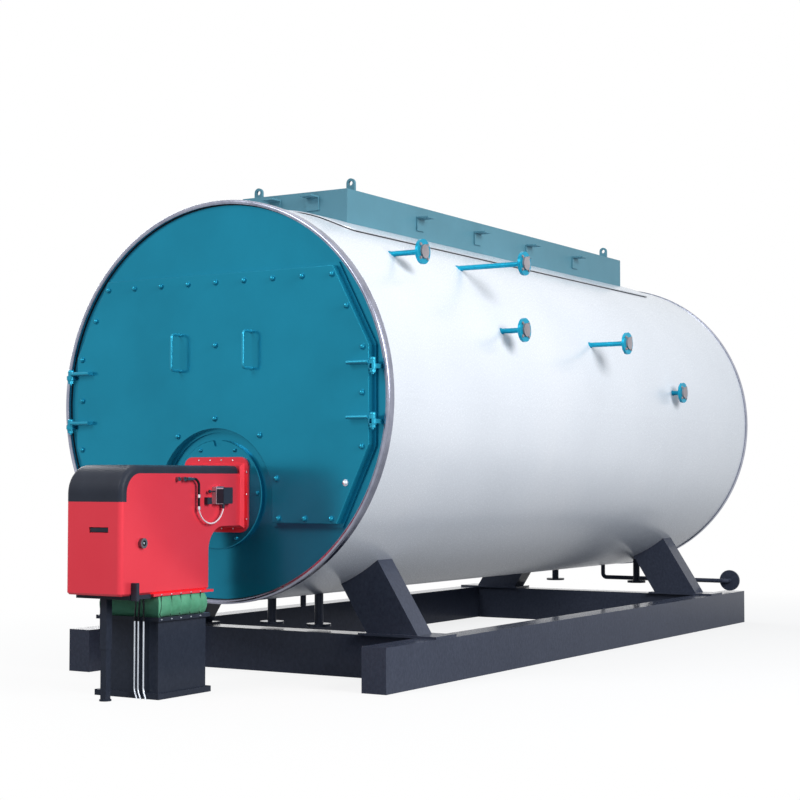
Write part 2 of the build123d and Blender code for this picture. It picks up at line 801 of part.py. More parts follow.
# Burner boss on the front plate, and the burner's own flange
with BuildPart() as burner_boss:
    with BuildSketch(facing_front(plate_recess)):
        with Locations((0, burner_height)):
            Circle(boss_radius)
    extrude(amount=plate_recess)
    chamfer(burner_boss.faces().sort_by(Axis.Y)[0].edges(), boss_edge_chamfer)
    boss_top = burner_height + boss_radius
    with BuildSketch(facing_front(0)):
        with BuildLine():
            Polyline(
                (boss_notch_width / 2, boss_top),
                (boss_notch_foot_width / 2, boss_top - boss_notch_height),
                (-boss_notch_foot_width / 2, boss_top - boss_notch_height),
                (-boss_notch_width / 2, boss_top),
                close=True,
            )
        make_face()
    extrude(amount=-boss_notch_depth, mode=Mode.SUBTRACT)
keep(burner_boss, "burner_boss")

with BuildPart() as burner_flange:
    with BuildSketch(facing_front(0)):
        with Locations((0, burner_height)):
            RectangleRounded(burner_flange_width, burner_flange_height, burner_flange_corner)
    extrude(amount=burner_flange_thickness)
keep(burner_flange, "burner_flange")

# Burner casing, drawn from the side, and the hood over its top and front
casing_front_y = front_y - burner_front
casing_back_y = front_y - burner_back
neck_arc_y = casing_back_y + neck_arc_radius
neck_back_y = front_y - burner_flange_thickness
hood_back_y = front_y - hood_back
hood_inner_radius = hood_bend_radius - hood_thickness
hood_center_y = casing_front_y + hood_bend_radius
hood_center_z = burner_top - hood_bend_radius
hood_underside = burner_top - hood_thickness
hood_inner_y = casing_front_y + hood_thickness
with BuildPart() as burner_housing:
    with BuildSketch(Plane.YZ.offset(-burner_half_width)):
        with BuildLine():
            Polyline(
                (neck_back_y, neck_bottom),
                (neck_back_y, burner_top),
                (hood_back_y, burner_top),
                (hood_back_y, hood_underside),
                (hood_center_y, hood_underside),
            )
            CenterArc((hood_center_y, hood_center_z), hood_inner_radius, 90, 90)
            Polyline(
                (hood_inner_y, hood_center_z),
                (hood_inner_y, hood_lip_height),
                (casing_front_y, hood_lip_height),
                (casing_front_y, burner_bottom),
                (casing_back_y, burner_bottom),
                (casing_back_y, neck_bottom - neck_arc_radius),
            )
            CenterArc((neck_arc_y, neck_bottom - neck_arc_radius), neck_arc_radius, 90, 90)
            Line((neck_arc_y, neck_bottom), (neck_back_y, neck_bottom))
        make_face()
    extrude(amount=2 * burner_half_width)
    front_corners = burner_housing.edges().filter_by(Axis.Z).group_by(Axis.Y)[0]
    fillet(front_corners, burner_edge_fillet)
    chamfer(burner_housing.faces().sort_by(Axis.Z)[0].edges(), burner_foot_chamfer)
    with BuildSketch(Plane.XZ.offset(-neck_back_y)):
        with Locations((0, (neck_bottom + burner_top) / 2)):
            Rectangle(2 * (burner_half_width + collar_flare), burner_top - neck_bottom + 2 * collar_flare)
    with BuildSketch(Plane.XZ.offset(-(neck_back_y - collar_length))):
        with Locations((0, (neck_bottom + burner_top) / 2)):
            Rectangle(2 * burner_half_width, burner_top - neck_bottom)
    loft(ruled=True)
    with BuildSketch(Plane.XZ.offset(-casing_front_y)):
        with Locations((slot_x, slot_center_height)):
            Rectangle(slot_width, slot_height)
    extrude(amount=-slot_recess, mode=Mode.SUBTRACT)
keep(burner_housing, "burner_housing")

with BuildPart() as burner_hood:
    with BuildSketch(Plane.YZ.offset(-burner_half_width)):
        with BuildLine():
            Polyline(
                (hood_center_y, hood_underside),
                (hood_back_y, hood_underside),
                (hood_back_y, burner_top - hood_end_radius),
            )
            CenterArc((hood_back_y - hood_end_radius, burner_top - hood_end_radius), hood_end_radius, 0, 90)
            Line((hood_back_y - hood_end_radius, burner_top), (hood_center_y, burner_top))
            CenterArc((hood_center_y, hood_center_z), hood_bend_radius, 90, 90)
            Polyline(
                (casing_front_y, hood_center_z),
                (casing_front_y, hood_lip_height),
                (hood_inner_y, hood_lip_height),
                (hood_inner_y, hood_center_z),
            )
            CenterArc((hood_center_y, hood_center_z), hood_inner_radius, 90, 90)
        make_face()
    extrude(amount=2 * burner_half_width)
    fillet(burner_hood.edges().filter_by(Axis.Z).group_by(Axis.Y)[0], burner_edge_fillet)
keep(burner_hood, "burner_hood")

# Flange and tray under the casing
flange_front_y = front_y - base_flange_front
with BuildPart() as burner_base_flange:
    with BuildSketch(Plane.XY.offset(burner_bottom)):
        with Locations((0, flange_front_y)):
            Rectangle(2 * base_flange_half_width, base_flange_front - base_flange_back,
                      align=(Align.CENTER, Align.MIN))
    extrude(amount=-base_flange_thickness)
keep(burner_base_flange, "burner_base_flange")

with BuildPart() as burner_tray:
    with BuildSketch(Plane.XY.offset(burner_bottom)):
        with Locations((0, flange_front_y)):
            Rectangle(2 * tray_half_width, tray_front - base_flange_front, align=(Align.CENTER, Align.MAX))
    extrude(amount=-tray_thickness)
keep(burner_tray, "burner_tray")

# Supply duct with its two lips, and the bellows between duct and burner
duct_length = duct_front - duct_back
duct_middle_y = front_y - (duct_front + duct_back) / 2
with BuildPart() as supply_duct:
    with BuildSketch():
        with Locations((0, duct_middle_y)):
            Rectangle(2 * duct_half_width, duct_length)
    extrude(amount=duct_height)
    for lip, bottom, thickness in (
        (duct_base_lip, 0, duct_base_lip_thickness),
        (duct_top_lip, duct_height - duct_top_lip_thickness, duct_top_lip_thickness),
    ):
        with BuildSketch(Plane.XY.offset(bottom)):
            with Locations((0, duct_middle_y)):
                Rectangle(2 * (duct_half_width + lip), duct_length + 2 * lip)
        extrude(amount=thickness)
keep(supply_duct, "supply_duct")

with BuildPart() as duct_bellows:
    for level, side_bulge, end_bulge in (
        (duct_height, -bellows_inset, -bellows_inset),
        (duct_height + bellows_height / 2, bellows_side_bulge, bellows_end_bulge),
        (bellows_top, -bellows_inset, -bellows_inset),
    ):
        with BuildSketch(Plane.XY.offset(level)):
            with Locations((0, duct_middle_y)):
                Rectangle(2 * (duct_half_width + side_bulge), duct_length + 2 * end_bulge)
    loft(ruled=True)
keep(duct_bellows, "duct_bellows")

# Telescopic post under the tray, on a round foot
post_y = front_y - post_center
post_top = burner_bottom - tray_thickness
with BuildPart() as burner_post:
    with BuildSketch():
        with Locations((0, post_y)):
            Circle(post_foot_radius)
    extrude(amount=post_foot_thickness)
    with BuildSketch():
        with Locations((0, post_y)):
            Rectangle(post_tube_width, post_tube_width)
    extrude(amount=post_top)
    with BuildSketch(Plane.XY.offset(post_top)):
        with Locations((0, post_y)):
            Rectangle(post_sleeve_width, post_sleeve_width)
    extrude(amount=-post_sleeve_length)
keep(burner_post, "burner_post")

# Sight glass and junction box on the casing's side
sight_glass_height = burner_height - sight_glass_fall
with BuildPart() as sight_glass:
    with BuildSketch(Plane.YZ.offset(burner_half_width)):
        with Locations((front_y - sight_glass_center, sight_glass_height)):
            Circle(sight_glass_radius)
    extrude(amount=sight_glass_depth)
    with BuildSketch(Plane.YZ.offset(burner_half_width + sight_glass_depth)):
        with Locations((front_y - sight_glass_center, sight_glass_height)):
            Circle(sight_glass_bore_radius)
    extrude(amount=-sight_glass_bore_depth, mode=Mode.SUBTRACT)
keep(sight_glass, "sight_glass")

junction_y = front_y - junction_box_front + junction_box_length / 2
junction_box_bottom = burner_bottom - junction_box_overhang
with BuildPart() as junction_box:
    with BuildSketch(Plane.YZ.offset(burner_half_width)):
        with Locations((junction_y, junction_box_bottom + junction_box_height / 2)):
            RectangleRounded(junction_box_length, junction_box_height, junction_box_fillet)
    extrude(amount=junction_box_depth)
keep(junction_box, "junction_box")

# Conduits up the duct's front, kicked out above the floor, and hoses from their tops to the tray
conduit_y = front_y - duct_front - duct_base_lip - conduit_radius - seat_gap
kick_x_share = conduit_kick_x / conduit_kick_height
kick_y_share = conduit_kick_y / conduit_kick_height
with BuildPart() as cable_conduits:
    for x in conduit_xs:
        foot_fall = conduit_kick_height + conduit_radius
        with BuildLine() as conduit_run:
            FilletPolyline(
                (x, conduit_y, conduit_height),
                (x, conduit_y, conduit_kick_height),
                (x + kick_x_share * foot_fall, conduit_y - kick_y_share * foot_fall, -conduit_radius),
                radius=conduit_bend_radius,
            )
        with BuildSketch(Plane(origin=(x, conduit_y, conduit_height), z_dir=(0, 0, -1))):
            Circle(conduit_radius)
        sweep(path=conduit_run.wire())
    split(bisect_by=Plane.XY, keep=Keep.TOP)
keep(cable_conduits, "cable_conduits")

with BuildPart() as conduit_hoses:
    for x, hose_start in zip(conduit_xs, hose_starts):
        start_y = front_y - hose_start
        with BuildLine() as hose_run:
            FilletPolyline(
                (hose_x, start_y, post_top),
                (hose_x, start_y, post_top - hose_drop),
                (x, conduit_y, conduit_height + hose_drop),
                (x, conduit_y, conduit_height),
                radius=hose_bend_radius,
            )
        with BuildSketch(Plane(origin=(hose_x, start_y, post_top), z_dir=(0, 0, -1))):
            Circle(hose_radius)
        sweep(path=hose_run.wire())
keep(conduit_hoses, "conduit_hoses")

# Terminal block of the pressure switch, then the switch with its gland, knob and side block
switch_bottom = burner_height - switch_fall
terminal_y = front_y - switch_front
switch_y = terminal_y + terminal_length
gland_x = burner_half_width + line_stand_off
gland_y = switch_y + gland_inset
with BuildPart() as switch_terminals:
    with BuildSketch(Plane.YZ.offset(burner_half_width)):
        with Locations((terminal_y, switch_bottom)):
            Rectangle(terminal_length, switch_height, align=(Align.MIN, Align.MIN))
    extrude(amount=terminal_reach)
keep(switch_terminals, "switch_terminals")

with BuildPart() as pressure_switch:
    with BuildSketch(Plane.YZ.offset(burner_half_width)):
        with Locations((switch_y, switch_bottom)):
            RectangleRounded(switch_length, switch_height, switch_fillet, align=(Align.MIN, Align.MIN))
    extrude(amount=switch_reach)
    with BuildSketch(Plane.YZ.offset(burner_half_width)):
        with Locations((front_y - side_block_front, switch_bottom)):
            Rectangle(side_block_length, side_block_height, align=(Align.MIN, Align.MIN))
    extrude(amount=side_block_reach)
    with BuildSketch(Plane.XY.offset(switch_bottom + switch_fillet)):
        with Locations((gland_x, gland_y)):
            Circle(gland_radius)
    extrude(amount=-(gland_drop + switch_fillet))
    knob_place = (gland_x, terminal_y - knob_stem_length, switch_bottom + switch_height - knob_fall)
    with BuildSketch(Plane(origin=knob_place, z_dir=(0, 1, 0))):
        Circle(knob_stem_radius)
    extrude(amount=knob_stem_length)
    with Locations(knob_place):
        Sphere(knob_radius)
keep(pressure_switch, "pressure_switch")

# Impulse line along the casing's side: sockets, fitting and ferrules, then its hose and lead
line_x = burner_half_width + line_stand_off
line_height = burner_height + line_rise
fitting_y = front_y - fitting_front
hose_start_y = fitting_y + fitting_length + nipple_length
impulse_y = front_y - impulse_turn
upper_ferrule_top = line_height - upper_ferrule_drop
lower_ferrule_top = line_height - lower_ferrule_drop
with BuildPart() as impulse_fittings:
    for socket_center in socket_centers:
        with BuildSketch(Plane.YZ.offset(burner_half_width)):
            with Locations((front_y - socket_center, line_height)):
                Circle(socket_radius)
        extrude(amount=line_stand_off)
        with BuildSketch(Plane.YZ.offset(line_x)):
            with Locations((front_y - socket_center, line_height)):
                Circle(socket_bore_radius)
        extrude(amount=-socket_bore_depth, mode=Mode.SUBTRACT)
    with BuildSketch(Plane.XZ.offset(-fitting_y)):
        with Locations((line_x, line_height)):
            Circle(fitting_radius)
    extrude(amount=-fitting_length)
    with BuildSketch(Plane.XZ.offset(-fitting_y)):
        with Locations((line_x, line_height)):
            Circle(impulse_hose_radius)
    extrude(amount=-(fitting_length + nipple_length))
    for ferrule_top in (upper_ferrule_top, lower_ferrule_top):
        with BuildSketch(Plane.XY.offset(ferrule_top)):
            with Locations((line_x, impulse_y)):
                Circle(ferrule_radius)
        extrude(amount=-ferrule_length)
keep(impulse_fittings, "impulse_fittings")

with BuildPart() as impulse_hose:
    with BuildLine() as impulse_run:
        FilletPolyline(
            (line_x, hose_start_y, line_height),
            (line_x, impulse_y, line_height),
            (line_x, impulse_y, upper_ferrule_top),
            radius=impulse_bend_radius,
        )
    with BuildSketch(Plane(origin=(line_x, hose_start_y, line_height), z_dir=(0, 1, 0))):
        Circle(impulse_hose_radius)
    sweep(path=impulse_run.wire())
    with BuildSketch(Plane.XY.offset(lower_ferrule_top)):
        with Locations((line_x, impulse_y)):
            Circle(impulse_hose_radius)
    extrude(amount=upper_ferrule_top - ferrule_length - lower_ferrule_top)
keep(impulse_hose, "impulse_hose")

lead_top = lower_ferrule_top - ferrule_length - lead_end_gap
lead_end = switch_bottom - gland_drop - lead_end_gap
lead_bottom = min(lead_top, lead_end) - lead_drop
with BuildPart() as switch_lead:
    with BuildLine() as lead_run:
        ThreePointArc(
            (line_x, impulse_y, lead_top),
            (line_x, impulse_y + lead_low_share * (gland_y - impulse_y), lead_bottom),
            (gland_x, gland_y, lead_end),
        )
    with BuildSketch(Plane(origin=lead_run.wire() @ 0, z_dir=lead_run.wire() % 0)):
        Circle(lead_radius)
    sweep(path=lead_run.wire())
keep(switch_lead, "switch_lead")
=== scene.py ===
"""Finishes, fasteners, fabric and studio for a horizontal fire-tube boiler with its burner and skid."""

from __future__ import annotations

import json
import logging
import math
from dataclasses import dataclass
from enum import Enum
from typing import Iterable, Sequence

import bmesh
import bpy
from mathutils import Matrix, Vector, noise

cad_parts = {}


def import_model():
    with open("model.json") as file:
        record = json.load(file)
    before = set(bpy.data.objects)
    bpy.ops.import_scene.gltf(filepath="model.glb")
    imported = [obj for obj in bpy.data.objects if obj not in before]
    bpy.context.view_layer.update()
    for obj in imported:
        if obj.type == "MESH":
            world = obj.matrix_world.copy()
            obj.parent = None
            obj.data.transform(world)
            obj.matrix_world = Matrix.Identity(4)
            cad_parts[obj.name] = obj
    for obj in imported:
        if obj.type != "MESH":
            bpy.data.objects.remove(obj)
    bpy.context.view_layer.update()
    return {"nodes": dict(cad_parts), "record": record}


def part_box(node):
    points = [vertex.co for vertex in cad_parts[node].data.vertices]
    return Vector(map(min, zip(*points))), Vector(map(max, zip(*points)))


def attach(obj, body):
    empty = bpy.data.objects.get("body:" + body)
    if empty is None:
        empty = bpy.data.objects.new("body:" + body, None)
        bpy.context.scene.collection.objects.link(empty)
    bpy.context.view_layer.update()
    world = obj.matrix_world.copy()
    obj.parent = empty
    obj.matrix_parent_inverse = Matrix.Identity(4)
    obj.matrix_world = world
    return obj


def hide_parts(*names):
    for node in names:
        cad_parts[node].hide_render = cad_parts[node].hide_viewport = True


LOG = logging.getLogger("boiler")

# Sizes of the drum that several pieces share, in metres
DRUM_RADIUS = 1.292
DRUM_HEIGHT = 1.797
RING_BORE = 1.272

Colour = tuple[float, float, float]
Point = tuple[float, float, float]
Spot = tuple[float, float]
Facing = tuple[Point, Point]
Tones = tuple[tuple[int, int, int], ...]
Inputs = dict[str | int, object]
Sizes = dict[str, float | int]
Piece = bpy.types.Object
Mesh = bpy.types.Mesh
Shape = bmesh.types.BMesh
Socket = bpy.types.NodeSocket
Material = bpy.types.Material

WHITE: Colour = (1.0, 1.0, 1.0)
FRONT: Point = (0, -1, 0)
RIGHT: Point = (1, 0, 0)
LEFT: Point = (-1, 0, 0)
SIDES = (1, -1)


def tint(red: int, green: int, blue: int) -> Colour:
    """Scene-linear colour of an 8-bit display colour."""
    shares = (red / 255.0, green / 255.0, blue / 255.0)
    return tuple(c / 12.92 if c <= 0.04045 else ((c + 0.055) / 1.055) ** 2.4 for c in shares)


def turns(count: int) -> list[float]:
    """Even angles round a circle."""
    return [math.tau * i / count for i in range(count)]


def circle(centre: Point, radius: float, angles: Iterable[float]) -> list[Point]:
    """Points of a circle that faces the front."""
    x, y, z = centre
    return [(x + radius * math.cos(a), y, z + radius * math.sin(a)) for a in angles]


class Body(Enum):
    """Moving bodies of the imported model."""

    BOILER = "boiler"
    DOOR = "door"


class Slot(Enum):
    """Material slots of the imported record."""

    CLADDING = "cladding"
    TRIM = "trim_steel"
    TEAL = "teal_paint"
    NOZZLE = "nozzle_blue"
    CAP = "cap_grey"
    INNER = "inner_steel"
    SKID = "skid_black"
    RED = "burner_red"
    HOOD = "hood_black"
    TERMINAL = "terminal_grey"
    BELLOWS = "bellows_green"
    BRIGHT = "bright_steel"
    HOSE = "hose_rubber"


class Head(Enum):
    """Shapes of a fastener's head, as rings of (radius share, height share)."""

    DOME = ((1.0, 0.0), (1.0, 0.3), (0.86, 0.62), (0.58, 0.88), (0.2, 1.0))
    HEX = ((1.0, 0.0), (1.0, 0.82), (0.84, 1.0))
    PAN = ((1.0, 0.0), (0.96, 0.55), (0.7, 1.0))


class Graph:
    """A node tree, with short ways to add nodes and connect them."""

    def __init__(self, tree: bpy.types.NodeTree) -> None:
        """Take a tree."""
        self.tree = tree

    def add(self, kind: str, inputs: Inputs | None = None, **settings: object) -> bpy.types.Node:
        """Add a node.

        Args:
            kind: Blender's name of the node type.
            inputs: Sockets or constant values for its inputs.
            settings: Properties of the node.

        Returns:
            The new node.
        """
        node = self.tree.nodes.new(kind)
        for name, value in settings.items():
            setattr(node, name, value)
        for name, value in (inputs or {}).items():
            if isinstance(value, Socket):
                self.tree.links.new(value, node.inputs[name])
            else:
                node.inputs[name].default_value = value
        return node

    def calc(self, mode: str, first: Socket, second: Socket | float) -> Socket:
        """Arithmetic on two values."""
        return self.add("ShaderNodeMath", {0: first, 1: second}, operation=mode).outputs[0]

    def show(self, output: str, share: Socket, first: Socket, second: Socket) -> None:
        """End a tree with two shaders mixed."""
        mix = self.add("ShaderNodeMixShader", {0: share, 1: first, 2: second})
        self.tree.links.new(mix.outputs[0], self.tree.nodes[output].inputs["Surface"])


@dataclass(frozen=True)
class Grain:
    """A noise: features in a metre, octaves, and the strength of the finer octaves."""

    scale: float
    detail: float = 3.0
    rough: float = 0.5


class ShaderGraph(Graph):
    """One procedural material, built on Object coordinates or the piece's own map."""

    def __init__(self, name: str) -> None:
        """Start a material with a Principled shader.

        Args:
            name: Name of the material.
        """
        self.material = bpy.data.materials.new(name)
        self.material.use_nodes = True
        super().__init__(self.material.node_tree)
        self.shader = self.tree.nodes["Principled BSDF"]
        self.coordinates = self.add("ShaderNodeTexCoord").outputs

    def place(self, scale: Point = (1, 1, 1), turn: float = 0.0, source: str = "Object") -> Socket:
        """Stretched or turned texture coordinates.

        Args:
            scale: Scale along each axis.
            turn: Rotation about the third axis, in degrees.
            source: Output of the coordinate node.

        Returns:
            The coordinates.
        """
        rotation = (0.0, 0.0, math.radians(turn))
        inputs = {"Vector": self.coordinates[source], "Scale": scale, "Rotation": rotation}
        return self.add("ShaderNodeMapping", inputs).outputs["Vector"]

    def noise(self, grain: Grain, place: Socket | None = None) -> Socket:
        """Noise value from 0 to 1."""
        return self.add("ShaderNodeTexNoise", {
            "Vector": place or self.coordinates["Object"], "Scale": grain.scale, "Detail": grain.detail,
            "Roughness": grain.rough,
        }).outputs["Fac"]

    def ramp(self, factor: Socket, stops: Sequence[float], colours: Sequence[Colour]) -> Socket:
        """Colour ramp.

        Args:
            factor: Value that picks the colour.
            stops: Places of the colours.
            colours: The colours.

        Returns:
            The picked colour.
        """
        node = self.add("ShaderNodeValToRGB", {"Fac": factor})
        points = node.color_ramp.elements
        while len(points) < len(stops):
            points.new(0.5)
        for point, stop, colour in zip(points, stops, colours):
            point.position = stop
            point.color = (*colour, 1.0)
        return node.outputs["Color"]

    def span(self, value: Socket, low: float, high: float, start: float = 0.0, end: float = 1.0) -> Socket:
        """Value stretched to a range."""
        return self.add("ShaderNodeMapRange", {
            "Value": value, "From Min": start, "From Max": end, "To Min": low, "To Max": high,
        }).outputs["Result"]

    def around(self, value: Socket, middle: float, spread: Spot) -> Socket:
        """Value stretched to a range round a middle."""
        return self.span(value, middle + spread[0], middle + spread[1])

    def weigh(self, first: Socket, second: Socket, share: float) -> Socket:
        """Weighted mean of two values."""
        rest = self.calc("MULTIPLY", second, 1.0 - share)
        return self.calc("ADD", self.calc("MULTIPLY", first, share), rest)

    def blend(self, factor: Socket | float, first: Socket, second: Socket, mode: str = "MIX") -> Socket:
        """Two colours mixed."""
        node = self.add("ShaderNodeMix", {0: factor, 6: first, 7: second}, data_type="RGBA", blend_type=mode)
        return node.outputs[2]

    def speckle(self, colour: Socket, factor: Socket, stops: Spot, dark: Colour) -> Socket:
        """Colour darkened where a value is low."""
        return self.blend(1.0, colour, self.ramp(factor, stops, (dark, WHITE)), "MULTIPLY")

    def bump(self, height: Socket, depth: float, strength: float) -> None:
        """Raise the surface by a height."""
        node = self.add("ShaderNodeBump", {"Height": height, "Distance": depth, "Strength": strength})
        self.tree.links.new(node.outputs["Normal"], self.shader.inputs["Normal"])

    def finish(self, colour: Socket, roughness: Socket, **values: float) -> Material:
        """Connect the shader.

        Args:
            colour: Base colour.
            roughness: Roughness.
            values: Constant values of other sockets, with underscores for spaces.

        Returns:
            The finished material.
        """
        self.tree.links.new(colour, self.shader.inputs["Base Color"])
        self.tree.links.new(roughness, self.shader.inputs["Roughness"])
        for name, value in values.items():
            self.shader.inputs[name.replace("_", " ")].default_value = value
        return self.material


@dataclass(frozen=True)
class Finish:
    """A clouded colour with a worn gloss and a raised skin, and in some dark specks and a clear coat."""

    name: str
    tones: Tones
    roughness: float = 0.5
    metallic: float = 0.0
    specular: float = 0.5
    stops: tuple[float, ...] = (0.3, 0.7)
    spread: Spot = (-0.08, 0.1)
    cloud: Grain = Grain(4.0, 4.0, 0.6)
    cloud_share: float = 1.0
    skin: Grain = Grain(320.0, 2.0)
    stretch: Point = (1.0, 1.0, 1.0)
    depth: float = 0.0002
    strength: float = 0.6
    wear: Grain | None = None
    speck: Grain | None = None
    speck_stops: Spot = (0.3, 0.7)
    speck_dark: Colour = (0.96, 0.96, 0.96)
    speck_height: float = 0.0
    coat: float = 0.0
    coat_roughness: float = 0.14
    coat_ior: float = 1.13

    def colours(self) -> list[Colour]:
        """Scene-linear colours of the tones."""
        return [tint(*tone) for tone in self.tones]

    def build(self) -> Material:
        """Make the material.

        Returns:
            The material.
        """
        graph = ShaderGraph(self.name)
        height = skin = graph.noise(self.skin, graph.place(self.stretch))
        mean = graph.weigh(graph.noise(self.cloud), skin, self.cloud_share)
        colour = graph.ramp(mean, self.stops, self.colours())
        if self.speck:
            speck = graph.noise(self.speck)
            colour = graph.speckle(colour, speck, self.speck_stops, self.speck_dark)
            height = graph.calc("ADD", skin, graph.calc("MULTIPLY", speck, self.speck_height))
        graph.bump(height, self.depth, self.strength)
        worn = graph.noise(self.wear) if self.wear else skin
        return graph.finish(
            colour, graph.around(worn, self.roughness, self.spread), Metallic=self.metallic,
            Specular_IOR_Level=self.specular, Coat_Weight=self.coat, Coat_Roughness=self.coat_roughness,
            Coat_IOR=self.coat_ior)


@dataclass(frozen=True)
class PaintFinish(Finish):
    """Sprayed paint with slow drifts of tone, fine specks and a slight orange peel."""

    specular: float = 0.2
    stops: tuple[float, ...] = (0.28, 0.5, 0.74)
    spread: Spot = (-0.03, 0.05)
    cloud: Grain = Grain(1.7, 4.0, 0.55)
    skin: Grain = Grain(190.0, 2.0)
    depth: float = 0.00008
    strength: float = 0.7
    wear: Grain | None = Grain(7.0, 5.0, 0.6)
    speck: Grain | None = Grain(260.0, 2.0)


@dataclass(frozen=True)
class HammeredFinish(Finish):
    """Blue-black structure paint over rolled plate, with a hammered skin under a clear coat."""

    roughness: float = 0.34
    specular: float = 0.05
    stops: tuple[float, ...] = (0.26, 0.5, 0.74)
    spread: Spot = (-0.07, 0.1)
    cloud: Grain = Grain(2.1, 4.0, 0.6)
    cloud_share: float = 0.35
    skin: Grain = Grain(52.0, 3.0, 0.6)
    stretch: Point = (1.0, 1.0, 0.75)
    depth: float = 0.0016
    speck: Grain | None = Grain(330.0, 2.0)
    speck_stops: Spot = (0.3, 0.72)
    speck_dark: Colour = (0.8, 0.8, 0.82)
    speck_height: float = 0.16
    coat: float = 1.0


@dataclass(frozen=True)
class CladdingFinish(Finish):
    """Glossy white cladding sheet with a fine grain."""

    roughness: float = 0.24
    metallic: float = 0.12
    specular: float = 0.2
    stops: tuple[float, ...] = (0.3, 0.5, 0.7)
    spread: Spot = (-0.05, 0.09)
    cloud: Grain = Grain(0.8)
    skin: Grain = Grain(150.0, 3.0, 0.6)
    depth: float = 0.00025
    strength: float = 0.5
    speck: Grain | None = Grain(150.0, 3.0, 0.6)
    speck_stops: Spot = (0.32, 0.68)
    speck_dark: Colour = (0.93, 0.93, 0.94)


@dataclass(frozen=True)
class MetalFinish(Finish):
    """Bare or plated steel with drawn streaks."""

    roughness: float = 0.28
    metallic: float = 1.0
    stops: tuple[float, ...] = (0.32, 0.66)
    spread: Spot = (-0.08, 0.12)
    cloud: Grain = Grain(5.0)
    cloud_share: float = 0.4
    skin: Grain = Grain(40.0, 4.0, 0.6)
    stretch: Point = (1.0, 1.0, 14.0)
    depth: float = 0.0001
    strength: float = 0.5


@dataclass(frozen=True)
class ScaleFinish(Finish):
    """Dull steel with mill scale and soot."""

    roughness: float = 0.75
    metallic: float = 0.35
    stops: tuple[float, ...] = (0.36, 0.62)
    spread: Spot = (-0.15, 0.15)
    cloud: Grain = Grain(6.0, 6.0, 0.65)
    cloud_share: float = 0.75
    skin: Grain = Grain(120.0, 3.0, 0.6)
    depth: float = 0.0006
    strength: float = 0.7
    wear: Grain | None = Grain(6.0, 6.0, 0.65)


@dataclass(frozen=True)
class MouldedFinish(Finish):
    """Moulded plastic or rubber with a pebbled skin."""

    specular: float = 0.15
    cloud_share: float = 0.7


@dataclass(frozen=True)
class FittingFinish(Finish):
    """Plated fittings: the first tone above a height, bright ferrules of the second below it."""

    roughness: float = 0.22
    metallic: float = 0.85
    spread: Spot = (-0.06, 0.08)
    cloud: Grain = Grain(90.0)
    shades: Spot = (0.7, 0.85)
    height: float = 0.0
    border: float = 0.002

    def build(self) -> Material:
        """Make the material.

        Returns:
            The material.
        """
        graph = ShaderGraph(self.name)
        split = graph.add("ShaderNodeSeparateXYZ", {"Vector": graph.coordinates["Object"]})
        low, high = self.height - self.border, self.height + self.border
        above = graph.span(split.outputs["Z"], 0.0, 1.0, low, high)
        cloud = graph.noise(self.cloud)
        deep, bright = (graph.ramp(cloud, self.stops, (tuple(c * shade for c in colour), colour))
                        for colour, shade in zip(self.colours(), self.shades))
        rough = graph.around(cloud, self.roughness, self.spread)
        return graph.finish(graph.blend(above, bright, deep), rough, Metallic=self.metallic)


@dataclass(frozen=True)
class ClothFinish(Finish):
    """Coated glass-fibre cloth: a plain weave on the piece's own map, with creases."""

    roughness: float = 0.61
    specular: float = 0.2
    stops: tuple[float, ...] = (0.3, 0.5, 0.72)
    spread: Spot = (-0.11, 0.11)
    cloud: Grain = Grain(9.0, 5.0, 0.6)
    depth: float = 0.0022
    strength: float = 0.55
    speck_stops: Spot = (0.1, 0.8)
    speck_dark: Colour = (0.82, 0.82, 0.82)
    threads: float = 230.0
    waver: float = 0.6
    weave_height: float = 0.35
    sheen: float = 0.08

    def build(self) -> Material:
        """Make the material.

        Returns:
            The material.
        """
        graph = ShaderGraph(self.name)
        warp, weft = (graph.add("ShaderNodeTexWave", {
            "Vector": graph.place(turn=turn, source="UV"), "Scale": self.threads / math.pi,
            "Distortion": self.waver,
        }, wave_type="BANDS", bands_direction="X").outputs["Fac"] for turn in (0.0, 90.0))
        weave = graph.calc("MULTIPLY", graph.calc("ADD", warp, weft), 0.5)
        crease = graph.noise(self.cloud)
        blotch = graph.ramp(crease, self.stops, self.colours())
        colour = graph.speckle(blotch, weave, self.speck_stops, self.speck_dark)
        height = graph.calc("ADD", graph.calc("MULTIPLY", weave, self.weave_height), crease)
        graph.bump(height, self.depth, self.strength)
        rough = graph.around(crease, self.roughness, self.spread)
        return graph.finish(colour, rough, Sheen_Weight=self.sheen, Specular_IOR_Level=self.specular)


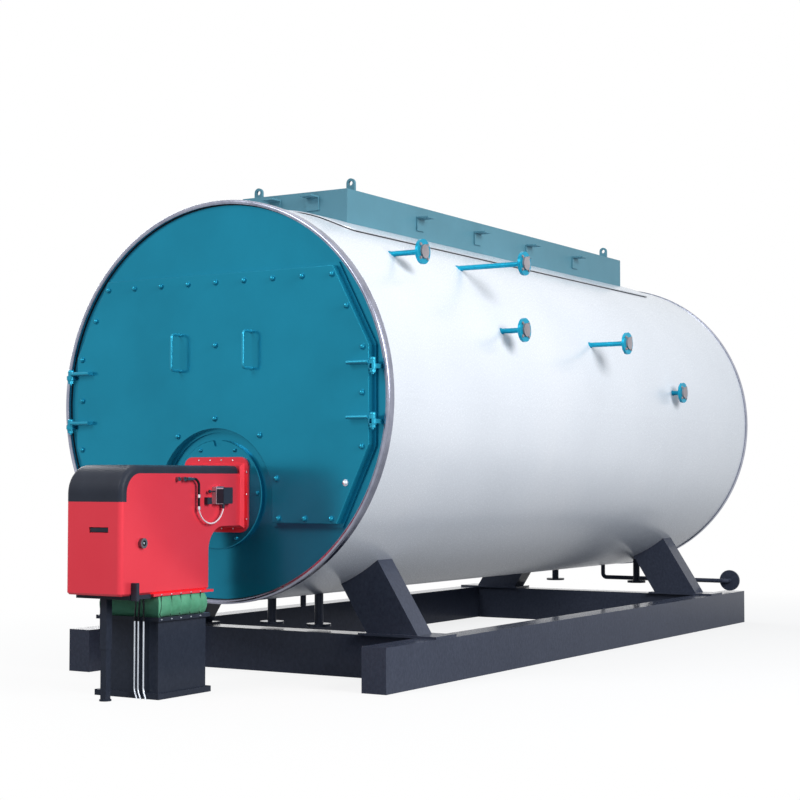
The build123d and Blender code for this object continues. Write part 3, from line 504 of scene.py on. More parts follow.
class FinishBook:
    """Every finish of the boiler, made once and handed out by slot or by piece."""

    ferrule_drop = 0.055  # from the fittings' top to the ferrules' top

    def __init__(self) -> None:
        """Make the materials."""
        by_slot: dict[Slot, Finish] = {
            Slot.CLADDING: CladdingFinish(
                "cladding_sheet", ((226, 231, 238), (231, 236, 243), (236, 240, 246))),
            Slot.TRIM: MetalFinish(
                "trim_band", ((132, 135, 152), (162, 165, 181)), roughness=0.22, stretch=(0.3, 0.3, 0.3)),
            Slot.TEAL: PaintFinish(
                "teal_paint", ((29, 134, 163), (31, 140, 170), (33, 145, 176)), roughness=0.19, metallic=0.48,
                specular=0.1),
            Slot.NOZZLE: PaintFinish(
                "nozzle_paint", ((20, 150, 184), (26, 160, 194), (34, 168, 202)), roughness=0.26,
                metallic=0.3, specular=0.08),
            Slot.CAP: MouldedFinish("cap_plate", ((132, 126, 130), (174, 168, 172)), skin=Grain(90.0, 2.0)),
            Slot.INNER: ScaleFinish("boiler_plate", ((52, 47, 44), (96, 90, 86))),
            Slot.SKID: HammeredFinish("skid_paint", ((58, 63, 78), (67, 73, 89), (76, 82, 99))),
            Slot.RED: PaintFinish(
                "burner_paint", ((250, 67, 82), (253, 71, 86), (255, 75, 90)), roughness=0.24, metallic=0.25,
                specular=0.1),
            Slot.HOOD: MouldedFinish("hood_shell", ((42, 46, 57), (54, 59, 71)), roughness=0.44),
            # The terminal case is grey with a pink tint: the pink is a painted reflection of the red burner
            # casing
            Slot.TERMINAL: MouldedFinish("terminal_case_red_reflection", ((176, 142, 152), (206, 176, 186)), roughness=0.42),
            Slot.BELLOWS: ClothFinish("bellows_cloth", ((80, 152, 116), (97, 173, 135), (112, 190, 152))),
            Slot.BRIGHT: MetalFinish(
                "zinc_plate", ((192, 200, 212), (226, 231, 238)), roughness=0.3, stretch=(4, 4, 0.4)),
            Slot.HOSE: MouldedFinish(
                "hose_skin", ((14, 16, 22), (28, 31, 38)), roughness=0.45, skin=Grain(500.0, 2.0)),
        }
        self.by_slot = {slot: finish.build() for slot, finish in by_slot.items()}
        # Hinge paint is the door's teal made lighter for the straps, lugs, hinge bolts and handles: a painted
        # highlight on them
        hinge = PaintFinish(
            "hinge_highlight_paint", ((38, 152, 184), (43, 160, 192), (48, 168, 200)), roughness=0.2, metallic=0.4,
            specular=0.15)
        curb = PaintFinish("curb_paint", ((84, 133, 149), (88, 139, 156), (92, 144, 162)), roughness=0.4)
        # The duct, post and tray take the skid's hammered paint in darker tones: painted shade under the
        # burner
        duct = HammeredFinish(
            "duct_shaded_paint", ((46, 51, 63), (51, 57, 70), (57, 63, 77)), roughness=0.4, depth=0.0009)
        fitting = FittingFinish(
            "fitting_plate", ((128, 140, 148), (222, 228, 234)),
            height=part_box("impulse_fittings")[1].z - self.ferrule_drop)
        lead = MouldedFinish(
            "lead_sheath", ((232, 206, 214), (246, 230, 236)), roughness=0.4, specular=0.4,
            skin=Grain(260.0, 2.0))
        tube = MetalFinish("sight_tube", ((84, 88, 96), (136, 140, 148)), roughness=0.32)
        self.by_node: dict[str, Material] = {}
        for finish, names in (
            (hinge, ("door_straps", "hinge_lugs", "left_hinge_bolts", "right_hinge_bolts", "door_handles")),
            (curb, ("curb_walls", "curb_deck", "curb_cleats", "lifting_lugs")),
            (duct, ("supply_duct", "burner_post", "burner_tray")),
            (fitting, ("impulse_fittings",)),
            (lead, ("switch_lead",)),
            (tube, ("sight_glass",)),
        ):
            self.by_node.update(dict.fromkeys(names, finish.build()))
        self.highlight_teal = self.by_node["door_straps"]
        self.lens = MouldedFinish(
            "lens_glass", ((12, 18, 20), (24, 34, 36)), roughness=0.12, specular=0.5,
            skin=Grain(60.0, 2.0)).build()
        self.cover = MouldedFinish("cover_skin", ((34, 22, 30), (54, 38, 46)), roughness=0.4).build()
        self.cord = MouldedFinish(
            "tie_cord", ((28, 38, 36), (54, 66, 64)), roughness=0.6, skin=Grain(700.0, 2.0)).build()


def link(mesh: Mesh, name: str) -> Piece:
    """Put a mesh into the scene at the origin.

    Args:
        mesh: Finished mesh.
        name: Name of the piece.

    Returns:
        The new object.
    """
    piece = bpy.data.objects.new(name, mesh)
    bpy.context.scene.collection.objects.link(piece)
    return piece


def settle(piece: Piece, body: Body) -> Piece:
    """Let a piece ride on a body and log its faces.

    Args:
        piece: Finished piece.
        body: Body that carries it.

    Returns:
        The piece.
    """
    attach(piece, body.value)
    LOG.info("%s: %d faces on %s", piece.name, len(piece.data.polygons), body.value)
    return piece


class NodeRecipe(Graph):
    """A Geometry Nodes tree with named sizes, and the way to turn it into a plain mesh."""

    def __init__(self, name: str, sizes: Sizes) -> None:
        """Start the tree.

        Args:
            name: Name of the tree.
            sizes: Named inputs and their usual values.
        """
        super().__init__(bpy.data.node_groups.new(name, "GeometryNodeTree"))
        self.identifiers: dict[str, str] = {}
        face = self.tree.interface
        face.new_socket("Geometry", in_out="INPUT", socket_type="NodeSocketGeometry")
        for label, value in sizes.items():
            kind = "NodeSocketInt" if isinstance(value, int) else "NodeSocketFloat"
            socket = face.new_socket(label, in_out="INPUT", socket_type=kind)
            socket.default_value = value
            self.identifiers[label] = socket.identifier
        finish = face.new_socket("Finish", in_out="INPUT", socket_type="NodeSocketMaterial")
        self.identifiers["Finish"] = finish.identifier
        face.new_socket("Geometry", in_out="OUTPUT", socket_type="NodeSocketGeometry")
        self.source = self.add("NodeGroupInput").outputs
        self.target = self.add("NodeGroupOutput").inputs

    def close(self, geometry: Socket) -> None:
        """End the tree with real geometry in its finish.

        Args:
            geometry: What the tree has made.
        """
        real = self.add("GeometryNodeRealizeInstances", {"Geometry": geometry}).outputs["Geometry"]
        dressed = self.add("GeometryNodeSetMaterial", {"Geometry": real, "Material": self.source["Finish"]})
        self.tree.links.new(dressed.outputs["Geometry"], self.target["Geometry"])

    def make(self, seed: Mesh, name: str, finish: Material, sizes: Sizes) -> Piece:
        """Run the tree on a seed mesh.

        Args:
            seed: Points or paths that the tree starts from.
            name: Name of the piece.
            finish: Its material.
            sizes: Values of the named sizes.

        Returns:
            The piece, as a plain mesh.
        """
        carrier = link(seed, name + "_seed")
        modifier = carrier.modifiers.new("make", "NODES")
        modifier.node_group = self.tree
        modifier[self.identifiers["Finish"]] = finish
        for label, value in sizes.items():
            modifier[self.identifiers[label]] = value
        graph = bpy.context.evaluated_depsgraph_get()
        mesh = bpy.data.meshes.new_from_object(carrier.evaluated_get(graph), depsgraph=graph)
        carrier.modifiers.remove(modifier)
        bpy.data.objects.remove(carrier)
        mesh.name = name
        return link(mesh, name)


@dataclass(frozen=True)
class Bolt:
    """Sizes of a fastener, in metres."""

    head: Head
    radius: float
    height: float
    washer_radius: float
    washer_height: float
    sides: int = 16
    seed: int = 7

    def sizes(self) -> Sizes:
        """Values of the fastener tree's sizes."""
        return {
            "Head Radius": self.radius, "Head Height": self.height, "Washer Radius": self.washer_radius,
            "Washer Height": self.washer_height, "Sides": self.sides, "Seed": self.seed,
        }


@dataclass(frozen=True)
class Bead:
    """Sizes of a round run, in metres, and its ripples in a metre."""

    radius: float
    step: float
    sides: int = 8
    ripple: float = 0.0
    ripple_scale: float = 60.0

    def sizes(self) -> Sizes:
        """Values of the run tree's sizes."""
        return {
            "Radius": self.radius, "Sides": self.sides, "Step": self.step, "Ripple": self.ripple,
            "Ripple Scale": self.ripple_scale,
        }


class FastenerRecipe(NodeRecipe):
    """Stands a washer and a head on every point, facing the way that the point says."""

    washer_sides = 20
    merge_distance = 1e-6

    def __init__(self, head: Head) -> None:
        """Build the tree for one head shape.

        Args:
            head: Shape of the head.
        """
        usual = Bolt(head, radius=0.015, height=0.01, washer_radius=0.02, washer_height=0.003)
        super().__init__(f"{head.name.lower()}_fasteners", usual.sizes())
        pieces = [self.drum("Washer", 1.0, 1.0, 1.0, self.washer_sides)]
        for (low_share, low), (high_share, high) in zip(head.value, head.value[1:]):
            ring = self.drum("Head", low_share, high_share, high - low, self.source["Sides"])
            under = self.calc("MULTIPLY", self.source["Head Height"], low)
            above = self.calc("ADD", under, self.source["Washer Height"])
            rise = self.add("ShaderNodeCombineXYZ", {"Z": above})
            moved = self.add("GeometryNodeTransform", {"Geometry": ring, "Translation": rise.outputs[0]})
            pieces.append(moved.outputs["Geometry"])
        stack = self.add("GeometryNodeJoinGeometry")
        for piece in reversed(pieces):
            self.tree.links.new(piece, stack.inputs["Geometry"])
        merged = self.add("GeometryNodeMergeByDistance", {
            "Geometry": stack.outputs["Geometry"], "Distance": self.merge_distance,
        })
        facing = self.add("GeometryNodeInputNamedAttribute", {"Name": "facing"}, data_type="FLOAT_VECTOR")
        upright = self.add("FunctionNodeAlignRotationToVector", {
            "Vector": facing.outputs["Attribute"],
        }, axis="Z")
        chance = self.add("FunctionNodeRandomValue", {"Seed": self.source["Seed"]}, data_type="FLOAT")
        angle = self.calc("MULTIPLY", chance.outputs[1], math.tau)
        spin = self.add("FunctionNodeAxisAngleToRotation", {"Axis": (0, 0, 1), "Angle": angle})
        pose = self.add("FunctionNodeRotateRotation", {
            "Rotation": upright.outputs["Rotation"], "Rotate By": spin.outputs["Rotation"],
        }, rotation_space="LOCAL")
        stand = self.add("GeometryNodeInstanceOnPoints", {
            "Points": self.source["Geometry"], "Instance": merged.outputs["Geometry"],
            "Rotation": pose.outputs["Rotation"],
        })
        self.close(stand.outputs["Instances"])

    def drum(self, part: str, low: float, high: float, share: float, sides: Socket | int) -> Socket:
        """One ring of the stack, standing on the ground."""
        radius, height = self.source[f"{part} Radius"], self.source[f"{part} Height"]
        return self.add("GeometryNodeMeshCone", {
            "Vertices": sides, "Radius Bottom": self.calc("MULTIPLY", radius, low),
            "Radius Top": self.calc("MULTIPLY", radius, high), "Depth": self.calc("MULTIPLY", height, share),
        }).outputs["Mesh"]


class RunRecipe(NodeRecipe):
    """Sweeps a round section along every path of the seed: cords, weld beads and strips."""

    def __init__(self) -> None:
        """Build the tree."""
        super().__init__("round_runs", Bead(radius=0.003, step=0.01).sizes())
        path = self.add("GeometryNodeMeshToCurve", {"Mesh": self.source["Geometry"]}).outputs["Curve"]
        even = self.add("GeometryNodeResampleCurve", {
            "Curve": path, "Length": self.source["Step"],
        }, mode="LENGTH")
        ring = self.add("GeometryNodeCurvePrimitiveCircle", {
            "Resolution": self.source["Sides"], "Radius": self.source["Radius"],
        })
        tube = self.add("GeometryNodeCurveToMesh", {
            "Curve": even.outputs["Curve"], "Profile Curve": ring.outputs["Curve"], "Fill Caps": True,
        })
        waves = self.add("ShaderNodeTexNoise", {"Scale": self.source["Ripple Scale"], "Detail": 1.0})
        ripple = self.calc("SUBTRACT", waves.outputs["Fac"], 0.5)
        reach = self.calc("MULTIPLY", ripple, self.source["Ripple"])
        normal = self.add("GeometryNodeInputNormal").outputs["Normal"]
        push = self.add("ShaderNodeVectorMath", {0: normal, "Scale": reach}, operation="SCALE")
        moved = self.add("GeometryNodeSetPosition", {
            "Geometry": tube.outputs["Mesh"], "Offset": push.outputs["Vector"],
        })
        smooth = self.add("GeometryNodeSetShadeSmooth", {"Geometry": moved.outputs["Geometry"]})
        self.close(smooth.outputs["Geometry"])


class Workshop:
    """Makes pieces from the shared trees and finishes, and seats them."""

    def __init__(self, book: FinishBook) -> None:
        """Build one tree for each kind of repeat.

        Args:
            book: Finishes of the pieces.
        """
        self.book = book
        self.fasteners = {head: FastenerRecipe(head) for head in Head}
        self.runs = RunRecipe()

    def bolts(self, name: str, bolt: Bolt, places: Iterable[Facing], body: Body, slot: Slot) -> None:
        """Stand fasteners on a piece.

        Args:
            name: Name of the piece that they make.
            bolt: Their sizes.
            places: Pairs of a place and the way that it faces.
            body: Body that carries them.
            slot: Slot of their finish.
        """
        listed = list(places)
        seed = bpy.data.meshes.new(name)
        seed.from_pydata([place for place, _ in listed], [], [])
        layer = seed.attributes.new("facing", "FLOAT_VECTOR", "POINT")
        for item, (_, way) in zip(layer.data, listed):
            item.vector = way
        settle(self.fasteners[bolt.head].make(seed, name, self.book.by_slot[slot], bolt.sizes()), body)

    def beads(self, name: str, bead: Bead, runs: Iterable[Sequence[Point]], body: Body, slot: Slot,
              closed: bool = False, finish: Material | None = None) -> None:
        """Lay round runs along paths.

        Args:
            name: Name of the piece that they make.
            bead: Their sizes.
            runs: Points of each path.
            body: Body that carries them.
            slot: Slot that they follow.
            closed: Whether each path returns to its start.
            finish: Material, or None for that of the slot.
        """
        places: list[Point] = []
        edges: list[tuple[int, int]] = []
        for run in runs:
            first = len(places)
            places.extend(run)
            edges.extend((first + i, first + i + 1) for i in range(len(run) - 1))
            if closed:
                edges.append((len(places) - 1, first))
        seed = bpy.data.meshes.new(name)
        seed.from_pydata(places, edges, [])
        settle(self.runs.make(seed, name, finish or self.book.by_slot[slot], bead.sizes()), body)

    def mount(self, shape: Shape, name: str, body: Body, slot: Slot,
              finish: Material | None = None) -> Piece:
        """Turn a modelled shape into a piece.

        Args:
            shape: The shape, which is used up.
            name: Name of the piece.
            body: Body that carries it.
            slot: Slot that it follows.
            finish: Material, or None for that of the slot.

        Returns:
            The piece.
        """
        bmesh.ops.recalc_face_normals(shape, faces=shape.faces)
        mesh = bpy.data.meshes.new(name)
        shape.to_mesh(mesh)
        shape.free()
        mesh.set_sharp_from_angle(angle=math.radians(35))
        mesh.materials.append(finish or self.book.by_slot[slot])
        return settle(link(mesh, name), body)


def lathe(profile: Sequence[Spot], centre: Point, axis: Point, steps: int = 40) -> Shape:
    """Closed turned form with smooth faces.

    Args:
        profile: Radius and distance along the axis, from the bottom's middle to the top's middle.
        centre: Place of the axis' start.
        axis: Direction of the axis.
        steps: Steps round the axis.

    Returns:
        The shape.
    """
    shape = bmesh.new()
    rows = []
    for radius, along in profile:
        spots = [(radius * math.cos(a), radius * math.sin(a), along) for a in turns(steps if radius else 1)]
        rows.append([shape.verts.new(spot) for spot in spots])
    for low, high in zip(rows, rows[1:]):
        for i in range(steps):
            j = (i + 1) % steps
            ring = [low[i % len(low)], low[j % len(low)], high[j % len(high)], high[i % len(high)]]
            corners = list(dict.fromkeys(ring))
            if len(corners) > 2:
                shape.faces.new(corners).smooth = True
    turn = Vector((0, 0, 1)).rotation_difference(Vector(axis)).to_matrix().to_4x4()
    shape.transform(Matrix.Translation(Vector(centre)) @ turn)
    return shape


def plate(low: Vector, high: Vector, bevel: float, segments: int = 3) -> Shape:
    """Block with rounded edges.

    Args:
        low: Lowest corner.
        high: Highest corner.
        bevel: Radius of the edges.
        segments: Steps of the rounding.

    Returns:
        The shape.
    """
    shape = bmesh.new()
    bmesh.ops.create_cube(shape, size=1.0)
    shape.transform(Matrix.Translation((high + low) / 2) @ Matrix.Diagonal((*(high - low), 1.0)))
    bmesh.ops.bevel(shape, geom=list(shape.edges), offset=bevel, segments=segments, profile=0.5,
                    affect="EDGES")
    return shape


@dataclass
class FrontDoor:
    """Bolts on the door leaf, the round fronts of its hinge straps and the welds of its handles."""

    shop: Workshop
    bolt: Bolt = Bolt(
        Head.DOME, radius=0.0165, height=0.017, washer_radius=0.0205, washer_height=0.004, sides=20)
    centre_bolts: tuple[Spot, ...] = ((0.0, 2.559), (0.0, 1.683), (0.0, 2.154))
    side_bolts: tuple[Spot, ...] = (
        (0.225, 2.559), (0.45, 2.559), (0.675, 2.559), (0.90, 2.559), (1.007, 2.357), (1.125, 2.10),
        (1.121, 1.822), (1.119, 1.494), (1.003, 1.274), (0.897, 1.053), (0.70, 1.052), (0.502, 1.051),
        (0.486, 1.30),
    )
    bright_bolt: Spot = (1.003, 1.274)
    arch_bolts: tuple[Spot, ...] = ((-0.30, 1.572), (0.355, 1.572))
    strap_height: float = 0.023
    strap_reach: float = 0.196
    strap_eye: float = 0.020
    strap_edge: float = 0.0006
    handle_bar: float = 0.009
    weld: Bead = Bead(radius=0.0036, step=0.004, ripple=0.002, ripple_scale=150.0)
    weld_gap: float = 0.001
    weld_steps: int = 24

    def build(self) -> None:
        """Make and seat the pieces."""
        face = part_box("front_door")[0].y
        places = [*self.centre_bolts, *self.arch_bolts]
        for x, z in self.side_bolts:
            places.extend(((x, z), (-x, z)))
        places.remove(self.bright_bolt)
        groups = (("door_bolts", places, Slot.TEAL), ("bright_bolt", [self.bright_bolt], Slot.BRIGHT))
        for name, spots, slot in groups:
            self.shop.bolts(name, self.bolt, (((x, face, z), FRONT) for x, z in spots), Body.DOOR, slot)
        self.weld_handles(face)
        self.round_straps()

    def weld_handles(self, face: float) -> None:
        """Weld beads round the feet of the handles.

        Args:
            face: Place of the door's face along the boiler.
        """
        low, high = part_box("door_handles")
        bar, reach = self.handle_bar, self.handle_bar + self.weld_gap
        rings = [circle((x, face - self.weld_gap, z), reach, turns(self.weld_steps))
                 for x in (low.x + bar, high.x - bar) for z in (low.z + bar, high.z - bar)]
        self.shop.beads("handle_welds", self.weld, rings, Body.DOOR, Slot.TEAL, closed=True)

    def round_straps(self) -> None:
        """Half-round fronts of the hinge straps."""
        low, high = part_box("door_straps")
        half = self.strap_height / 2
        inner, outer = high.x - self.strap_reach, high.x - 2 * self.strap_eye
        runs = [[(side * inner, low.y, z), (side * outer, low.y, z)]
                for z in (low.z + half, high.z - half) for side in SIDES]
        bead = Bead(radius=half - self.strap_edge, step=0.02, sides=20)
        # The strap fronts take the lighter hinge teal, a painted highlight
        self.shop.beads("strap_rounds", bead, runs, Body.DOOR, Slot.TEAL, finish=self.shop.book.highlight_teal)


@dataclass
class FrontPlate:
    """Bolts of the burner's boss, a black bead round the plate that paints the shadow in the ring's gap, and
    the rolled edge of its ring.
    """

    shop: Workshop
    bolt: Bolt = Bolt(Head.DOME, radius=0.0125, height=0.012, washer_radius=0.015, washer_height=0.003)
    bolt_circle: float = 0.316
    bolt_angles: tuple[float, ...] = (64.0, 116.0, 2.0, 178.0, -60.5, -119.5)
    shadow_bead: Bead = Bead(radius=0.0028, step=0.03)
    shadow_bead_share: float = 0.5
    roll_edge: float = 0.0008
    roll_share: float = 0.5
    steps: int = 180

    def build(self) -> None:
        """Make and seat the pieces."""
        low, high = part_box("burner_boss")
        middle = (0.0, low.y, (low.z + high.z) / 2)
        places = circle(middle, self.bolt_circle, (math.radians(a) for a in self.bolt_angles))
        self.shop.bolts("boss_bolts", self.bolt, ((p, FRONT) for p in places), Body.BOILER, Slot.TEAL)
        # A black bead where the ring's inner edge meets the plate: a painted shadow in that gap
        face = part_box("front_plate")[0].y - self.shadow_bead.radius * self.shadow_bead_share
        self.lay("plate_shadow_bead", self.shadow_bead, RING_BORE - self.shadow_bead.radius, face, Slot.HOSE)
        low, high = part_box("front_trim_ring")
        half = (high.x - RING_BORE) / 2
        roll = Bead(radius=half - self.roll_edge, step=0.03, sides=20)
        self.lay("ring_roll", roll, RING_BORE + half, low.y + half * self.roll_share, Slot.TRIM)

    def lay(self, name: str, bead: Bead, reach: float, y: float, slot: Slot) -> None:
        """Lay a bead round the drum's axis."""
        line = circle((0.0, y, DRUM_HEIGHT), reach, turns(self.steps))
        self.shop.beads(name, bead, [line], Body.BOILER, slot, closed=True)


@dataclass
class SideNozzles:
    """Bolts of the pipe flanges and the welds where the pipes meet the drum."""

    shop: Workshop
    names: tuple[str, ...] = (
        "front_gauge_nozzle", "upper_gauge_nozzle", "lower_gauge_nozzle", "feed_nozzle", "sample_nozzle",
    )
    bolt_circle: float = 0.0625
    bolt_angles: tuple[float, ...] = (45.0, 135.0, 225.0, 315.0)
    head_seed: int = 3
    nut_seed: int = 5
    flange: float = 0.020
    pipe: float = 0.018
    weld: Bead = Bead(radius=0.005, step=0.005, ripple=0.003, ripple_scale=90.0)
    weld_gap: float = 0.001
    weld_steps: int = 48

    def build(self) -> None:
        """Make and seat the pieces."""
        heads: list[Facing] = []
        nuts: list[Facing] = []
        rings: list[list[Point]] = []
        for name in self.names:
            low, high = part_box(name)
            y, z = (low.y + high.y) / 2, (low.z + high.z) / 2
            for a in map(math.radians, self.bolt_angles):
                place = (y + self.bolt_circle * math.cos(a), z + self.bolt_circle * math.sin(a))
                heads.append(((high.x, *place), RIGHT))
                nuts.append(((high.x - self.flange, *place), LEFT))
            rings.append(self.root(y, z))
        groups = (("nozzle_bolts", heads, self.head_seed), ("nozzle_nuts", nuts, self.nut_seed))
        for label, places, seed in groups:
            bolt = Bolt(Head.HEX, radius=0.0095, height=0.007, washer_radius=0.0112, washer_height=0.002,
                        sides=6, seed=seed)
            self.shop.bolts(label, bolt, places, Body.BOILER, Slot.CAP)
        self.shop.beads("nozzle_welds", self.weld, rings, Body.BOILER, Slot.NOZZLE, closed=True)

    def root(self, y: float, z: float) -> list[Point]:
        """Line where a pipe meets the drum.

        Args:
            y: Place of the pipe along the boiler.
            z: Height of the pipe.

        Returns:
            Points round the pipe.
        """
        line = []
        reach = self.pipe + self.weld_gap
        for a in turns(self.weld_steps):
            py, pz = y + reach * math.cos(a), z + reach * math.sin(a)
            line.append((math.sqrt(DRUM_RADIUS ** 2 - (pz - DRUM_HEIGHT) ** 2) + self.weld_gap, py, pz))
        return line


@dataclass
class TopSheet:
    """Dark strip round the raised sheet on top of the drum: a painted shadow line under the sheet's edge."""

    shop: Workshop
    corner: float = 0.150
    corner_steps: int = 12
    side_steps: int = 24
    strip: Bead = Bead(radius=0.0036, step=0.03, sides=6)
    strip_share: float = 0.6

    def build(self) -> None:
        """Make and seat the strip."""
        low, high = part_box("top_sheet")
        reach = self.corner + self.strip.radius * self.strip_share
        line: list[Point] = []
        for start, sx, sy in ((0, 1, 1), (90, -1, 1), (180, -1, -1), (270, 1, -1)):
            middle_x = sx * (high.x - self.corner)
            middle_y = (high.y - self.corner) if sy > 0 else (low.y + self.corner)
            for step in range(self.corner_steps + 1):
                a = math.radians(start + 90 / self.corner_steps * step)
                line.append(self.spot(middle_x + reach * math.cos(a), middle_y + reach * math.sin(a)))
            if sx * sy > 0:
                first, y, _ = line[-1]
                stride = (-middle_x - first) / self.side_steps
                line.extend(self.spot(first + stride * k, y) for k in range(1, self.side_steps))
        # The dark strip paints the shadow line under the raised sheet's edge
        self.shop.beads("sheet_shadow_strip", self.strip, [line], Body.BOILER, Slot.HOSE, closed=True)

    def spot(self, x: float, y: float) -> Point:
        """Place of the strip's middle over a place in plan."""
        return x, y, DRUM_HEIGHT + math.sqrt((DRUM_RADIUS + self.strip.radius) ** 2 - x ** 2)


@dataclass
class Burner:
    """Screws, slot plate, lens and switch details of the burner."""

    shop: Workshop
    screw: Bolt = Bolt(
        Head.PAN, radius=0.0042, height=0.004, washer_radius=0.005, washer_height=0.001, sides=12)
    screw_spots: tuple[Spot, ...] = (
        (0.045, 0.2195), (0.135, 0.2195), (0.2455, 0.143), (0.2455, 0.003), (0.2455, -0.153), (0.05, -0.215),
        (0.14, -0.215),
    )
    slot_low: Point = (-0.0265, 0.005, 0.987)    # across, behind the casing's face, above the floor
    slot_high: Point = (0.1145, 0.0178, 1.015)
    slot_bevel: float = 0.003
    cover_low: Point = (-0.001, 0.004, 0.003)    # steps from the terminal block's corners
    cover_high: Point = (0.0026, -0.001, -0.010)
    cover_bevel: float = 0.0008
    # A bright plate on the terminal block's top: a painted highlight of its lit top face
    highlight_cap_low: Point = (0.001, 0.003, -0.001)
    highlight_cap_high: Point = (0.0036, 0.002, 0.0055)
    highlight_cap_bevel: float = 0.0012
    lens_depth: float = 0.008
    lens: tuple[Spot, ...] = (
        (0.0, 0.0), (0.0165, 0.0), (0.0165, 0.003), (0.0145, 0.0055), (0.0095, 0.0068), (0.0, 0.0072),
    )
    core_rise: float = 0.0066
    core: tuple[Spot, ...] = ((0.0, 0.0), (0.006, 0.0), (0.006, 0.0006), (0.0038, 0.0012), (0.0, 0.0014))
    core_steps: int = 24

    def build(self) -> None:
        """Make and seat the pieces."""
        low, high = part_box("burner_flange")
        middle = (low.z + high.z) / 2
        places = (((side * x, low.y, middle + z), FRONT) for x, z in self.screw_spots for side in SIDES)
        self.shop.bolts("flange_screws", self.screw, places, Body.BOILER, Slot.BRIGHT)
        face = Vector((0.0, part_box("burner_housing")[0].y, 0.0))
        shape = plate(face + Vector(self.slot_low), face + Vector(self.slot_high), self.slot_bevel)
        self.shop.mount(shape, "slot_plate", Body.BOILER, Slot.HOOD)
        self.sight_lens()
        self.terminal_cover()

    def sight_lens(self) -> None:
        """Domed glass in the sight tube's bore, with a bright core."""
        low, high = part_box("sight_glass")
        y, z = (low.y + high.y) / 2, (low.z + high.z) / 2
        floor = high.x - self.lens_depth
        shape = lathe(self.lens, (floor, y, z), RIGHT)
        self.shop.mount(shape, "sight_lens", Body.BOILER, Slot.HOOD, self.shop.book.lens)
        shape = lathe(self.core, (floor + self.core_rise, y, z), RIGHT, self.core_steps)
        self.shop.mount(shape, "sight_core", Body.BOILER, Slot.BRIGHT)

    def terminal_cover(self) -> None:
        """Dark cover on the terminal block's side, and a bright cap on top of it: a painted highlight of the
        block's lit top.
        """
        low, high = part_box("switch_terminals")
        corner = Vector((high.x, low.y, low.z)) + Vector(self.cover_low)
        shape = plate(corner, high + Vector(self.cover_high), self.cover_bevel)
        self.shop.mount(shape, "terminal_cover", Body.BOILER, Slot.HOOD, self.shop.book.cover)
        corner = Vector((low.x, low.y, high.z)) + Vector(self.highlight_cap_low)
        shape = plate(corner, high + Vector(self.highlight_cap_high), self.highlight_cap_bevel)
        self.shop.mount(shape, "terminal_highlight_cap", Body.BOILER, Slot.BRIGHT)


